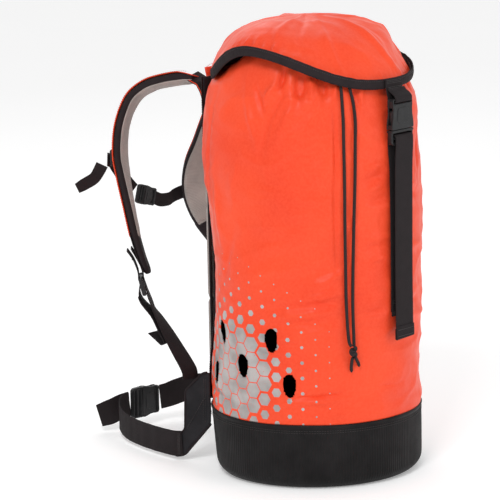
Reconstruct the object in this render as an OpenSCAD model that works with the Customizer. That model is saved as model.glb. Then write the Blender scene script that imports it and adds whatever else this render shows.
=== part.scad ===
// Rope storage bag: a round backpack bag for rope, with a hinged lid, a cord-closed throat,
// padded shoulder straps, a chest strap and a webbing hip belt.
// Frame: +Z up, origin on the floor under the middle of the base, -Y is the front with the
// lid strap, +Y is the back with the harness. -X is the wearer's left. Millimetres.

/* [Bag] */
// Radius of the bag just above its base
bag_r = 150; // [148:1:151]
// Extra radius of the bag at its fullest height
bag_swell = 4; // [2:0.5:5]
// Distance from the bag's axis to its flat back
back_y = 138; // [137:0.5:139]
// Thickness of the coated fabric
fabric_t = 1.6; // [1.2:0.1:2]
// Height of the reinforced base
base_h = 92; // [84:1:96]
// Height of the top edge of the side panel
panel_top = 556; // [552:1:558]
// Width of a drain hole
drain_w = 19; // [14:1:20]
// Height of a drain hole
drain_h = 34; // [26:1:36]

/* [Throat] */
// Radius of the middle of the mouth's hem
mouth_r = 71; // [60:1:74]
// Height of the middle of the mouth's hem
mouth_z = 591.5; // [590.5:0.5:592.5]
// Diameter of the drawcord
cord_d = 4.5; // [3.5:0.5:5]

/* [Lid] */
// Outer radius of the lid at its hem
lid_r = 146; // [145.5:0.5:148]
// Height of the lid's top
lid_top = 649; // [640:1:655]
// Height of the hem at the front
hem_front_z = 557; // [555:1:559]
// How far the hem rises at the sides
hem_rise = 46; // [30:1:50]
// Height of the sewn hinge line at the back
hinge_z = 566; // [565:0.5:567]

/* [Webbing] */
// Width of the wide webbing of the lid strap, shoulder straps and hip belt
web_w = 38; // [32:1:40]
// Thickness of the wide webbing
web_t = 1.6; // [1.2:0.1:1.8]
// Width of the chest strap's webbing
chest_w = 20; // [15:1:22]

/* [Shoulder straps] */
// Width of a shoulder pad
pad_w = 50; // [44:1:54]
// Thickness of the foam of a shoulder pad
pad_t = 11; // [8:0.5:11]
// Thickness of the outer cover of a shoulder pad
cover_t = 1.2; // [0.8:0.1:1.4]

/* [Hidden] */

$fn = 96;
gap = 0.4;                 // clearance between neighbouring pieces
orange = [0.95, 0.33, 0.2];
black = [0.16, 0.15, 0.16];
plastic = [0.11, 0.11, 0.12];
grey = [0.66, 0.62, 0.58];
metal = [0.7, 0.7, 0.72];

// ---- curves ----
// One point of a Catmull-Rom span from b to c
function span(a, b, c, d, t) =
    0.5 * (2 * b + (c - a) * t + (2 * a - 5 * b + 4 * c - d) * t * t
           + (3 * b - a - 3 * c + d) * t * t * t);
// A smooth line through the points p, with n steps in each span
function smooth_line(p, n) = concat(
    [for (i = [0 : len(p) - 2], k = [0 : n - 1])
        span(p[max(i - 1, 0)], p[i], p[i + 1], p[min(i + 2, len(p) - 1)], k / n)],
    [p[len(p) - 1]]);
function unit(v) = v / norm(v);
function tangent(p, i) = unit(p[min(i + 1, len(p) - 1)] - p[max(i - 1, 0)]);
function across(v, t) = unit(v - (v * t) * t);
function mirror_x(p) = [for (q = p) [-q[0], q[1], q[2]]];
// Half a turn around a bar that lies along X, from angle a0 to a1 in the YZ plane
function around_bar(x, y, z, r, a0, a1, n) =
    [for (k = [0 : n]) let (a = a0 + (a1 - a0) * k / n) [x, y + r * cos(a), z + r * sin(a)]];
function polar(r, a, z) = [r * cos(a), r * sin(a), z];

// ---- shapes ----
// Triangles between a ring of m points that starts at point a and one that starts at point b
function band(a, b, m) = [for (j = [0 : m - 1], h = [0, 1]) let (k = (j + 1) % m)
    h == 0 ? [a + j, b + j, b + k] : [a + j, b + k, a + k]];
// A closed solid through rings of m points each
module skin(rings, m) {
    n = len(rings);
    points = [for (r = rings, q = r) q];
    walls = [for (i = [0 : n - 2], f = band(i * m, (i + 1) * m, m)) f];
    first = [[for (j = [0 : m - 1]) j]];
    last = [[for (j = [m - 1 : -1 : 0]) (n - 1) * m + j]];
    polyhedron(points, concat(walls, first, last), convexity = 6);
}
// A closed band whose rings each go once round the axis, the last one joined to the first
module ring_wall(rings, m) {
    n = len(rings);
    points = [for (r = rings, q = r) q];
    polyhedron(points, [for (i = [0 : n - 1], f = band(i * m, ((i + 1) % n) * m, m)) f],
               convexity = 6);
}
// A flat strap along a line of points; side gives the direction of its width at each point
module ribbon(line, side, w, t, lift = 0) {
    rings = [for (i = [0 : len(line) - 1])
        let (d = tangent(line, i), s = across(side[i], d), u = cross(s, d), c = line[i] + u * lift)
        [c - s * w / 2 - u * t / 2, c - s * w / 2 + u * t / 2,
         c + s * w / 2 + u * t / 2, c + s * w / 2 - u * t / 2]];
    skin(rings, 4);
}
// A strap whose width always lies along one direction
module strap(line, along, w, t) {
    ribbon(line, [for (q = line) along], w, t);
}
// A round cord along a line of points
module tube(line, d, m) {
    rings = [for (i = [0 : len(line) - 1])
        let (t = tangent(line, i), s = across([0.31, 0.17, 0.93], t), u = cross(s, t))
        [for (j = [0 : m - 1]) line[i] + (s * cos(360 * j / m) - u * sin(360 * j / m)) * d / 2]];
    skin(rings, m);
}
// A turned wall of thickness t whose outside follows a line of [radius, height]
module turned_wall(line, t) {
    rotate_extrude()
        polygon(concat(line, [for (i = [len(line) - 1 : -1 : 0]) line[i] - [t, 0]]));
}
// Everything in front of the flat back
module in_front_of_back() {
    intersection() {
        children();
        translate([-200, -200, -5])
            cube([400, 200 + back_y, 700]);
    }
}

// ---- bag ----
panel_line = smooth_line([[bag_r, base_h + gap], [bag_r + bag_swell * 0.45, 190],
                          [bag_r + bag_swell, 330], [bag_r + bag_swell * 0.9, 440],
                          [bag_r - 1, 515], [bag_r - 11.5, panel_top]], 3);
drain_middle = [178, 2];    // directions of the middle hole on each side, from +X
drain_places = [[-18.5, 212], [18.5, 212], [0, 171], [-28, 148], [28, 148]];
// An egg outline, blunt end up
function egg(w, h) = [for (k = [0 : 23]) let (a = k * 15)
    [w / 2 * cos(a) * (1 + 0.18 * sin(a)), h / 2 * sin(a)]];

module side_panel() {
    color(orange)
    difference() {
        in_front_of_back()
            turned_wall(panel_line, fabric_t);
        for (m = drain_middle, d = drain_places)
            rotate([0, 0, m + d[0]])
                translate([bag_r - 15, 0, d[1]])
                    rotate([90, 0, 90])
                        linear_extrude(30)
                            polygon(egg(drain_w, drain_h));
    }
}

panel_half = 70;            // half the width of the back panel
module back_panel() {
    color(black)
    translate([-panel_half, back_y + gap, base_h + gap])
        cube([2 * panel_half, 2.4, panel_top + 2 - base_h]);
}

back_pad_t = 13;
back_pad_y = back_y + gap + 2.4 + gap;
module back_pad() {
    color(grey)
    translate([0, back_pad_y, 0])
        rotate([-90, 0, 0])
            linear_extrude(back_pad_t)
                hull()
                    for (x = [-50, 50], z = [122, 483])
                        translate([x, -z])
                            circle(r = 12, $fn = 32);
}

corner_r = 14;              // rounding of the base's lower edge
base_t = 2.2;
disc_r = bag_r - corner_r - 2;
base_line = concat([[disc_r + gap, 0]],
                   [for (a = [-75 : 15 : 0]) [bag_r - corner_r + corner_r * cos(a),
                                              corner_r + corner_r * sin(a)]],
                   [[bag_r, base_h]]);
base_inside = concat([[bag_r - base_t, base_h]],
                     [for (a = [0 : -15 : -75]) [bag_r - corner_r + (corner_r - base_t) * cos(a),
                                                corner_r + (corner_r - base_t) * sin(a)]],
                     [[disc_r + gap, base_t]]);
module base_band() {
    color(black)
    difference() {
        rotate_extrude()
            polygon(concat(base_line, base_inside));
        // the throat of the band is closed at the back by its own flat wall
        translate([-200, back_y, -5])
            cube([400, 40, 200]);
    }
    color(black)
    translate([-60, back_y + gap, 8])
        cube([120, 2.4, base_h - 8]);
}
module base_disc() {
    color(black)
    cylinder(r = disc_r, h = 3);
}

// ---- throat ----
// How far the side of a raised hem has come up, in direction a from the front
side_a = 85;                // direction of the hem's highest point
back_a = 128;               // direction where the hem is down again
function fold(a) = a > 180 ? 360 - a : a;
right_share = 0.62;         // the right side is drawn up less than the left
function bump(a) = let (b = fold(a), share = a > 180 ? right_share : 1)
    b < side_a ? share * pow(sin(90 * b / side_a), 3)
    : b < back_a ? share * pow(cos(90 * (b - side_a) / (back_a - side_a)), 1.5) : 0;
// Radius, height and share of the sideways rise along the gathered shoulder
shoulder = [[bag_r - 11.7, panel_top + gap, 0], [132.5, 566, 0.5], [122, 574.5, 1], [108, 581.5, 1],
            [92, 585.5, 0.5], [mouth_r + 7.5, 587.5, 0]];
shoulder_rise = 30;
rim_steps = 60;
module collar() {
    line = smooth_line(shoulder, 2);
    outside = [for (c = line) [for (k = [0 : rim_steps - 1]) let (a = k * 360 / rim_steps)
        [-c[0] * sin(a), -c[0] * cos(a), c[1] + c[2] * shoulder_rise * bump(a)]]];
    inside = [for (i = [len(line) - 1 : -1 : 0]) [for (q = outside[i])
        let (f = 1 - fabric_t / norm([q[0], q[1]]))
        [q[0] * f, q[1] * f, q[2] - fabric_t * (i == 0 ? 0 : 1)]]];
    color(orange)
    ring_wall(concat(outside, inside), rim_steps);
}

cord_hole_r = cord_d / 2 + 0.4;
hem_tube_r = 6;
cord_angle = [237, 244];    // directions in which the two cord ends leave the hem
module mouth_hem() {
    color(black)
    difference() {
        rotate_extrude()
            translate([mouth_r, mouth_z])
                difference() {
                    circle(r = hem_tube_r, $fn = 32);
                    circle(r = cord_d / 2 + 1.4, $fn = 32);
                }
        for (a = cord_angle)
            rotate([0, 0, a])
                translate([mouth_r, 0, mouth_z])
                    rotate([0, 90, 0])
                        cylinder(r = cord_hole_r, h = 20);
    }
}
module hem_eyelets() {
    color(metal)
    for (a = cord_angle)
        rotate([0, 0, a])
            translate([mouth_r + hem_tube_r + 0.1, 0, mouth_z])
                rotate([0, 90, 0])
                    difference() {
                        cylinder(r = 3.8, h = 1.4);
                        translate([0, 0, -1])
                            cylinder(r = cord_hole_r, h = 4);
                    }
}
module drawcord_ring() {
    color(black)
    rotate_extrude()
        translate([mouth_r, mouth_z])
            circle(r = cord_d / 2, $fn = 32);
}

// The cord ends leave the eyelets, pass the cord lock and hang down the front left.
exit_r = mouth_r + hem_tube_r + 1.6;
lock_turn = 240.5;
lock_place = polar(94, lock_turn, 597.8);
left_strand = [polar(exit_r, 237, 591.5), polar(82, 237.8, 594), polar(86, 239.1, 596.8),
               polar(94, 239.1, 597.8), polar(102, 239.1, 597), polar(109, 238.6, 593.6),
               polar(116.5, 238, 589), polar(125, 237.6, 583), polar(134, 237.4, 573.5),
               polar(139.8, 237.2, 564.5), polar(143, 237.1, 555), polar(147, 237, 539),
               polar(152.2, 236.8, 515), polar(154.8, 236.5, 490), polar(157.2, 236.4, 440),
               polar(157.6, 236.2, 380), polar(157.4, 236.2, 320), polar(156.6, 236.4, 262),
               polar(156, 237.4, 215), polar(157.6, 238.6, 204)];
right_strand = [polar(exit_r, 244, 591.5), polar(82, 243.2, 594), polar(86, 241.9, 596.8),
                polar(94, 241.9, 597.8), polar(102, 241.9, 597), polar(109, 242.2, 593.6),
                polar(116.5, 242.2, 589), polar(125, 242, 583), polar(134, 241.8, 573.5),
                polar(139.8, 242.1, 564.5), polar(143, 242.6, 555), polar(147, 243.4, 539),
                polar(152.2, 243.4, 515), polar(154.8, 242.8, 490), polar(157.2, 242, 440),
                polar(157.6, 241, 380), polar(157.4, 240.2, 320), polar(156.6, 239.8, 262),
                polar(156, 240.2, 215), polar(157.6, 240, 204)];
left_tail = [polar(159, 239, 188), polar(157, 238.7, 181), polar(155.8, 238.6, 174),
             polar(155.2, 238.8, 167)];
right_tail = [polar(159, 240.4, 189), polar(157.6, 241.4, 184), polar(156.4, 242.4, 179),
              polar(155.6, 243, 174)];
module drawcord_left() {
    color(black)
    tube(smooth_line(left_strand, 3), cord_d, 8);
}
module drawcord_right() {
    color(black)
    tube(smooth_line(right_strand, 3), cord_d, 8);
}
module drawcord_knot() {
    color(black)
    union() {
        translate(polar(158.6, 239.4, 196))
            scale([1, 1, 1.3])
                sphere(r = 5.4, $fn = 24);
        tube(smooth_line(left_tail, 2), cord_d, 8);
        tube(smooth_line(right_tail, 2), cord_d, 8);
    }
}

// The lock's barrel lies along the rim; the plunger slides in from the right end.
lock_r = 7.5;
lock_l = 26;
plunger_r = 5.4;
lock_slot = 10.6;           // both cords side by side
press_travel = 4;
module lock_frame() {
    translate(lock_place)
        rotate([0, 0, lock_turn])
            children();
}
module cord_lock_body() {
    color(plastic)
    lock_frame()
        difference() {
            translate([0, -lock_l / 2, 0])
                rotate([-90, 0, 0])
                    cylinder(r = lock_r, h = lock_l, $fn = 48);
            translate([0, -lock_l / 2 + 2, 0])
                rotate([-90, 0, 0])
                    cylinder(r = plunger_r + 0.3, h = lock_l, $fn = 48);
            translate([-20, -lock_slot / 2, -3])
                cube([40, lock_slot, 6]);
        }
}
module cord_lock_plunger() {
    color(plastic)
    lock_frame()
        difference() {
            translate([0, -lock_slot / 2 - 1.2, 0])
                rotate([-90, 0, 0])
                    cylinder(r = plunger_r, h = (lock_slot + lock_l) / 2 + press_travel + 3.2, $fn = 48);
            translate([-20, -lock_slot / 2, -3])
                cube([40, lock_slot + press_travel, 6]);
        }
}
module cord_lock_spring() {
    color(metal)
    lock_frame()
        translate([0, -lock_l / 2 + 2.1, 0])
            rotate([-90, 0, 0])
                difference() {
                    cylinder(r = 4.4, h = 4.4, $fn = 32);
                    translate([0, 0, -1])
                        cylinder(r = 3.4, h = 8, $fn = 32);
                }
}

// Loop inside the bag for tying in the end of the rope
tie_z = 470;
module rope_tie_loop() {
    color(black)
    strap(smooth_line([[0, back_y - 2.2, tie_z + 24], [0, back_y - 3, tie_z + 8],
                       [0, back_y - 14, tie_z - 18], [0, back_y - 26, tie_z - 30],
                       [0, back_y - 30, tie_z - 20], [0, back_y - 20, tie_z + 2],
                       [0, back_y - 7, tie_z + 18], [0, back_y - 4.6, tie_z + 26]], 3),
          [1, 0, 0], 20, web_t);
}

// ---- lid ----
lid_t = 1.6;
lid_steps = 60;
lid_lean = 10;              // how far the lid's top leans towards the back
// Height of the hem in direction a from the front
function hem_z(a) = hem_front_z + hem_rise * bump(a) + (hinge_z + 1 - hem_front_z) * (1 - cos(a)) / 2;
// Share of the full radius, and share of the way from hem to top
dome = [[1, 0], [0.985, 0.12], [0.945, 0.27], [0.884, 0.42], [0.805, 0.59], [0.675, 0.77],
        [0.48, 0.9], [0.27, 0.965], [0.1, 0.99]];
function lid_point(u, a, inward) =
    let (r = (lid_r - inward) * u[0], z0 = hem_z(a), z1 = lid_top - inward)
    [-r * sin(a), lid_lean * u[1] * (2 - u[1]) - r * cos(a), z0 + (z1 - z0) * u[1]];
module lid_shell() {
    m = lid_steps;
    h = len(dome);
    outside = [for (u = dome) [for (k = [0 : m - 1]) lid_point(u, k * 360 / m, 0)]];
    inside = [for (i = [h - 1 : -1 : 0]) [for (k = [0 : m - 1]) lid_point(dome[i], k * 360 / m, lid_t)]];
    points = concat([for (r = concat(outside, inside), q = r) q],
                    [[0, lid_lean, lid_top], [0, lid_lean, lid_top - lid_t]]);
    walls = [for (i = [0 : 2 * h - 1]) if (i != h - 1)
        for (f = band(i * m, ((i + 1) % (2 * h)) * m, m)) f];
    crown = [for (j = [0 : m - 1]) [(h - 1) * m + j, 2 * h * m, (h - 1) * m + (j + 1) % m]];
    ceiling = [for (j = [0 : m - 1]) [h * m + j, h * m + (j + 1) % m, 2 * h * m + 1]];
    color(orange)
    polyhedron(points, concat(walls, crown, ceiling), convexity = 6);
}
binding_h = 12;
binding_t = 1.4;
binding_a = 126;            // the binding ends this far round on each side of the front
module lid_binding() {
    n = 42;
    r0 = lid_r + gap;
    rings = [for (k = [0 : n]) let (a = binding_a * (2 * k / n - 1), z = hem_z(a < 0 ? a + 360 : a))
        [for (c = [[r0, -0.5], [r0, binding_h], [r0 + binding_t, binding_h], [r0 + binding_t, -0.5]])
            [-c[0] * sin(a), -c[0] * cos(a), z + c[1]]]];
    color(black)
    skin(rings, 4);
}
// Fabric of the back panel that the lid is sewn to
module hinge_strip() {
    color(orange)
    strap([[0, 142.3, 536], [0, 142.4, 548], [0, 143.6, 557], [0, 145.2, 562.5]], [1, 0, 0], 116, 1.2);
}

// ---- side release buckles ----
// Local frame: the buckle's length is along Z, the plug enters from below, its face is -Y.
// size is [webbing width, socket length, plug base length, thickness]
function buckle_out(size) = size[0] + 9;
module socket(size) {
    w = buckle_out(size);
    l = size[1];
    t = size[3];
    difference() {
        translate([-w / 2, -t / 2, 0])
            cube([w, t, l]);
        // the cavity that the prongs slide into
        translate([-w / 2 + 3, -t / 2 + 2.4, -1])
            cube([w - 6, t - 4.8, l * 0.72 + 1]);
        // side windows for the prongs' shoulders
        translate([-w / 2 - 1, -t / 2 + 2.4, l * 0.3])
            cube([w + 2, t - 4.8, l * 0.36]);
        // slot for the tab's webbing
        translate([-size[0] / 2 - 1, -t, l - 7])
            cube([size[0] + 2, 2 * t, 3.6]);
    }
}
module plug(size) {
    w = size[0] + 9;
    b = size[2];
    t = size[3];
    prong_l = size[1] * 0.62;
    bar = 0.17 * b;
    slot_h = 0.2 * b;
    difference() {
        translate([-w / 2, -t / 2, -b - gap])
            cube([w, t, b]);
        for (z = [bar - b, 2 * bar + slot_h - b])
            translate([-size[0] / 2 - 1, -t, z])
                cube([size[0] + 2, 2 * t, slot_h]);
    }
    // middle guide
    translate([-2.5, -t / 2 + 3, -gap - 0.2])
        cube([5, t - 6, prong_l]);
    // two springy prongs
    for (s = [-1, 1]) {
        translate([s * (w / 2 - 6.4) - 2, -t / 2 + 3, -gap - 0.2])
            cube([4, t - 6, prong_l]);
        translate([s * (w / 2 - 5.4) - 2, -t / 2 + 3, prong_l * 0.62])
            cube([4, t - 6, prong_l * 0.38 - gap - 0.2]);
    }
}

// ---- lid fastening ----
lid_buckle = [web_w, 43, 21, 11];
buckle_y = -160;
socket_z = 500;             // lower edge of the lid's socket
// The tab is sewn over the binding and passes round the socket's upper bar
module lid_tab() {
    color(black)
    strap([[0, -149.4, 569], [0, -149.8, 560], [0, -151.4, 551], [0, -153, 545], [0, -153.3, 540.2],
           [0, -153.9, 538.4], [0, -155.7, 537.8], [0, -160, 537.8], [0, -164.3, 537.8],
           [0, -166.2, 538.5], [0, -166.9, 540.4], [0, -166.6, 544.6],
           [0, -162.5, 549], [0, -156.5, 552.6], [0, -154, 556]],
          [1, 0, 0], web_w - 2, web_t);
}
module lid_socket() {
    color(plastic)
    translate([0, buckle_y, socket_z])
        socket(lid_buckle);
}
module lid_plug() {
    color(plastic)
    translate([0, buckle_y, socket_z])
        plug(lid_buckle);
}
lid_strap_bottom = 244;
// The fixed run goes up behind the plug and forward through its upper slot.
module lid_strap() {
    color(black)
    strap([[0, -159.6, 492.4], [0, -156, 492.3], [0, -153.5, 491.2], [0, -153.1, 486],
           [0, -153.1, 478], [0, -153.8, 468], [0, -155.5, 445], [0, -156, 380], [0, -155.8, 300],
           [0, -155.2, lid_strap_bottom]],
          [1, 0, 0], web_w, web_t);
}
module lid_strap_tail() {
    color(black)
    union() {
        strap([[0, -160.6, 492.4], [0, -164.2, 492.3], [0, -166.7, 491.2], [0, -167.2, 486],
               [0, -167.2, 476], [0, -166.4, 464], [0, -165.4, 440], [0, -164.6, 380],
               [0, -163.6, 300], [0, -163.6, 221]],
              [1, 0, 0], web_w, web_t);
        // folded and stitched end
        translate([-web_w / 2, -165.2, 206])
            cube([web_w, 3.2, 16]);
    }
}
module strap_anchor() {
    color(black)
    translate([-web_w / 2 - 1, -158, lid_strap_bottom - 6])
        cube([web_w + 2, 1.6, 24]);
}

// ---- haul loop ----
module haul_loop() {
    color(black)
    strap(smooth_line([[0, 144.4, 519], [0, 145, 534], [0, 148, 546], [0, 155, 552], [0, 162, 549],
                       [0, 165, 538], [0, 163.5, 522], [0, 156, 509], [0, 147.5, 503.5],
                       [0, 142.6, 500]], 3),
          [1, 0, 0], 25, web_t);
}

// ---- shoulder straps ----
left_pad_line = [[-56, 163, 551], [-60, 182, 551.5], [-67, 209, 547], [-74, 239, 538], [-79, 267, 518],
                 [-82, 286, 482], [-83, 292, 441], [-83, 287.5, 405], [-83, 279, 365],
                 [-84, 268, 325], [-86, 252, 288], [-87, 239, 266]];
right_pad_line = [[56, 163, 549], [62, 182, 544], [70, 206, 528], [77, 229, 502], [81, 250, 470],
                  [83, 269, 434], [83, 287.5, 398], [83, 292, 362], [83, 280, 332],
                  [84, 256, 304], [86, 234, 278], [87, 223, 260]];
pad_steps = 3;
strap_turn = 30;            // how far the straps turn inwards at the chest, in plan
foot_turn = 42;             // and at their feet
// The straps bank at the top and turn inwards lower down
function pad_side(n, s) = [for (i = [0 : n - 1])
    let (u = i / (n - 1), low = max(0, min(1, (u - 0.55) / 0.3)),
         yaw = strap_turn * sin(90 * min(1, u / 0.4)) + (foot_turn - strap_turn) * sin(90 * low))
    unit([s * cos(yaw), -sin(yaw), 0.3 * (1 - u) * (1 - u)])];
// share says how much of the pad's length the band covers, from the top
module pad_band(line, s, w, t, lift, share) {
    p = smooth_line(line, pad_steps);
    side = pad_side(len(p), s);
    kept = round((len(p) - 1) * share);
    ribbon([for (i = [0 : kept]) p[i]], [for (i = [0 : kept]) side[i]], w, t, lift);
}
module shoulder_pad_left() {
    color(grey)
    pad_band(left_pad_line, -1, pad_w, pad_t, 0, 1);
}
module shoulder_pad_right() {
    color(grey)
    pad_band(right_pad_line, 1, pad_w, pad_t, 0, 1);
}
cover_lift = (pad_t + cover_t) / 2 + 2;
left_cover_share = 0.85;    // the foot of each pad is black webbing
right_cover_share = 0.8;
module shoulder_cover_left() {
    color(orange)
    pad_band(left_pad_line, -1, pad_w - 6, cover_t, -cover_lift, left_cover_share);
}
module shoulder_cover_right() {
    color(orange)
    pad_band(right_pad_line, 1, pad_w - 6, cover_t, cover_lift, right_cover_share);
}
left_tab_line = [[-48, 143.5, 500], [-48, 144.5, 520], [-50, 148, 536], [-52.5, 154, 546.4],
                 [-54.6, 161, 550.4]];
module shoulder_tab_left() {
    color(black)
    strap(smooth_line(left_tab_line, 3), [1, 0, 0], web_w - 4, 2.4);
}
module shoulder_tab_right() {
    color(black)
    strap(smooth_line(mirror_x(left_tab_line), 3), [1, 0, 0], web_w - 4, 2.4);
}

// ---- strap adjusters ----
// Middle of the adjuster's upper bar on each side
bar_left = [-87, 255, 257];
bar_right = [87, 249, 238];
bar_r = 1.9;
bar_pitch = 10;
lock_lean = 14;             // how far the adjuster's lower end leans towards the bag
// A point of the adjuster's own YZ plane, which is turned with the strap
function at_foot(bar, s, y, z) =
    [bar[0] + s * (y - bar[1]) * sin(foot_turn), bar[1] + (y - bar[1]) * cos(foot_turn), z];
function foot_side(s) = [cos(foot_turn), -s * sin(foot_turn), 0];
// Loop of webbing sewn to the pad's outside that carries the adjuster: its back ply goes down
// through the [y, z] points in back, round the bar and up through those in front
module hanging_loop(bar, s, back, front) {
    turn = [for (q = around_bar(0, bar[1], bar[2], bar_r + 1.5, 180, 360, 6)) [q[1], q[2]]];
    color(black)
    strap([for (q = concat(back, turn, front)) at_foot(bar, s, q[0], q[1])], foot_side(s), 25, web_t);
}
module adjuster_loop_left() {
    hanging_loop(bar_left, -1, [[268, 302], [262, 291], [256, 279], [252.4, 268]],
                 [[258.6, 266], [261.4, 276], [266, 287], [274, 299]]);
}
module adjuster_loop_right() {
    hanging_loop(bar_right, 1, [[259.4, 297], [251, 285], [246.4, 270], [245.4, 254]],
                 [[252.4, 254], [253.4, 268], [257, 281], [265.4, 292]]);
}
module ladder_lock(bar, s) {
    w = web_w + 2;
    color(plastic)
    translate(bar)
        rotate([0, 0, -s * foot_turn])
            rotate([-lock_lean, 0, 0])
                union() {
                    for (i = [0 : 2])
                        translate([-w / 2 - 1, 0, -i * bar_pitch])
                            rotate([0, 90, 0])
                                cylinder(r = bar_r, h = w + 2, $fn = 32);
                    for (t = [-1, 1])
                        translate([t * (w / 2 + 1.8) - 1.8, -3.4, -2 * bar_pitch - 3.4])
                            cube([3.6, 6.8, 2 * bar_pitch + 6.8]);
                }
}
module adjuster_left() {
    ladder_lock(bar_left, -1);
}
module adjuster_right() {
    ladder_lock(bar_right, 1);
}
// Webbing from the hip wing up to the adjuster, round its middle bar and down as a tail, whose
// end turns back. It twists on the way, from the wing's direction to the strap's.
module lower_webbing(bar, s) {
    y = bar[1] - bar_pitch * sin(lock_lean);
    z = bar[2] - bar_pitch * cos(lock_lean);
    r = bar_r + 1.5;
    top = [s * 88.5, y - 22, z - 29];
    low = [s * 97.4, 156, 136];
    end = low + 0.55 * (top - low);
    off = [0, 4, -4];           // how far the tail stands off the webbing that it lies on
    climb = smooth_line([[s * 98.6, 153, 122], low, low + (top - low) / 3, low + (top - low) * 2 / 3,
                         top, at_foot(bar, s, y - 9.6, z - 18), at_foot(bar, s, y - 6.4, z - 9.7)], 3);
    turn = [for (q = around_bar(0, y, z, r, 180, 0, 6)) at_foot(bar, s, q[1], q[2])];
    tail = smooth_line([at_foot(bar, s, y + 5.4, z - 9), at_foot(bar, s, y + 4, z - 18),
                        [s * 88.2, y - 6, z - 28], low + 0.88 * (top - low) + off,
                        low + 0.62 * (top - low) + off, end + [0, 0.5, -8.3], end + [0, 2, -12.2],
                        end + [0, 6.5, -12.3], end + [0, 16, -6.3], end + [0, 27, 0.7]], 2);
    line = concat(climb, turn, tail);
    last = len(climb) - 1;
    bend = last + len(turn);
    color(black)
    ribbon(line,
           [for (i = [0 : len(line) - 1])
               let (a = foot_turn * (i <= last ? pow(min(1, i / (last - 5)), 2)
                                     : i <= bend ? 1 : (len(line) - 1 - i) / (len(line) - 1 - bend)))
               [cos(a), -s * sin(a), 0]],
           web_w - 6, web_t);
}
module lower_webbing_left() {
    lower_webbing(bar_left, -1);
}
module lower_webbing_right() {
    lower_webbing(bar_right, 1);
}

// ---- hip belt ----
// The wing is cut from flat fabric; its plane leans out from the bag's flank
wing_outline = [[0, 134], [12, 132], [40, 104], [42, 46], [62, 30], [60, 5], [44, 8], [0, 58]];
wing_t = 3;
module hip_wing_left() {
    color(black)
    translate([-91.5, 122, 0])
        rotate([0, 0, 104])
            rotate([90, 0, 0])
                linear_extrude(wing_t)
                    polygon(wing_outline);
}
module hip_wing_right() {
    color(black)
    translate([91.5, 122, 0])
        rotate([0, 0, 76])
            translate([0, wing_t, 0])
                rotate([90, 0, 0])
                    linear_extrude(wing_t)
                        polygon(wing_outline);
}
hip_buckle = [web_w, 34, 18, 10];
hip_centre = [6, 350, 40];
hip_turn = -4;              // the buckle's direction in plan
left_belt_line = [[-104.4, 166, 25.5], [-107.8, 181, 24.8], [-103, 215, 24.5], [-95, 250, 24.5],
                  [-82, 290, 25], [-66, 322, 28], [-48, 343, 34], [-32, 351.4, 38.6],
                  [-17.4, 351.8, 39.8]];
right_belt_line = [[104.4, 166, 25.5], [107.8, 181, 26.5], [108, 205, 36], [106, 235, 48],
                   [97, 272, 56], [85, 304, 56], [72, 327, 49], [59, 340.4, 42.4],
                   [45.6, 346.6, 40.4]];
module hip_belt_left() {
    color(black)
    strap(smooth_line(left_belt_line, 3), [0, 0, 1], web_w, web_t);
}
module hip_belt_right() {
    color(black)
    strap(smooth_line(right_belt_line, 3), [0, 0, 1], web_w, web_t);
}
module hip_frame() {
    translate(hip_centre)
        rotate([0, 0, hip_turn])
            rotate([0, 90, 0])
                children();
}
module hip_plug() {
    color(plastic)
    hip_frame()
        plug(hip_buckle);
}
module hip_socket() {
    color(plastic)
    hip_frame()
        socket(hip_buckle);
}
module hip_belt_tail() {
    color(black)
    strap(smooth_line([[-8, 360, 38], [-22, 364, 36], [-38, 371, 30], [-52, 382, 25]], 3),
          [0, 0, 1], web_w, web_t);
}

// ---- chest strap ----
chest_buckle = [chest_w, 24, 13, 8];
slider_l = [-84, 306.5, 430];
slider_r = [84, 307, 356];
module slider(place, s) {
    color(plastic)
    translate(place)
        rotate([0, 0, -s * strap_turn])
            difference() {
                translate([-14, -2.5, -12])
                    cube([28, 5, 24]);
                for (z = [-7.5, 4])
                    translate([-11, -5, z])
                        cube([22, 10, 3.5]);
            }
}
module chest_slider_left() {
    slider(slider_l, -1);
}
module chest_slider_right() {
    slider(slider_r, 1);
}
chest_centre = [-20, 309, 365];
chest_tilt = 17;            // the buckle's slope, falling to the right
module chest_frame() {
    translate(chest_centre)
        rotate([0, 90 + chest_tilt, 0])
            children();
}
module chest_plug() {
    color(plastic)
    chest_frame()
        plug(chest_buckle);
}
module chest_socket() {
    color(plastic)
    chest_frame()
        socket(chest_buckle);
}
module chest_strap_left() {
    color(black)
    ribbon(smooth_line([[-98.6, 303.9, 428.5], [-86.5, 310.9, 425], [-74.3, 317.2, 419],
                        [-61, 317.6, 405], [-50, 312.4, 388], [-39.6, 309, 375.4]], 3),
           [for (i = [0 : 15]) [0.55 * (i / 15), 0, 1]], chest_w, 1.4);
}
module chest_strap_right() {
    color(black)
    strap(smooth_line([[4.5, 309, 357.4], [20, 311, 351], [42, 314.8, 349], [59, 319.2, 351.5],
                       [74.3, 318.2, 354.5], [86.5, 311.2, 356.3], [98.6, 304.2, 357]], 3),
          [0, 0, 1], chest_w, 1.4);
}
module chest_strap_tail() {
    color(black)
    strap(smooth_line([[-102.2, 311.8, 420.6], [-106.2, 315.8, 410], [-112, 319.5, 401],
                       [-123, 326.6, 394], [-134, 333, 388]], 3),
          [0, 0, 1], chest_w - 2, 1.4);
}

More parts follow.
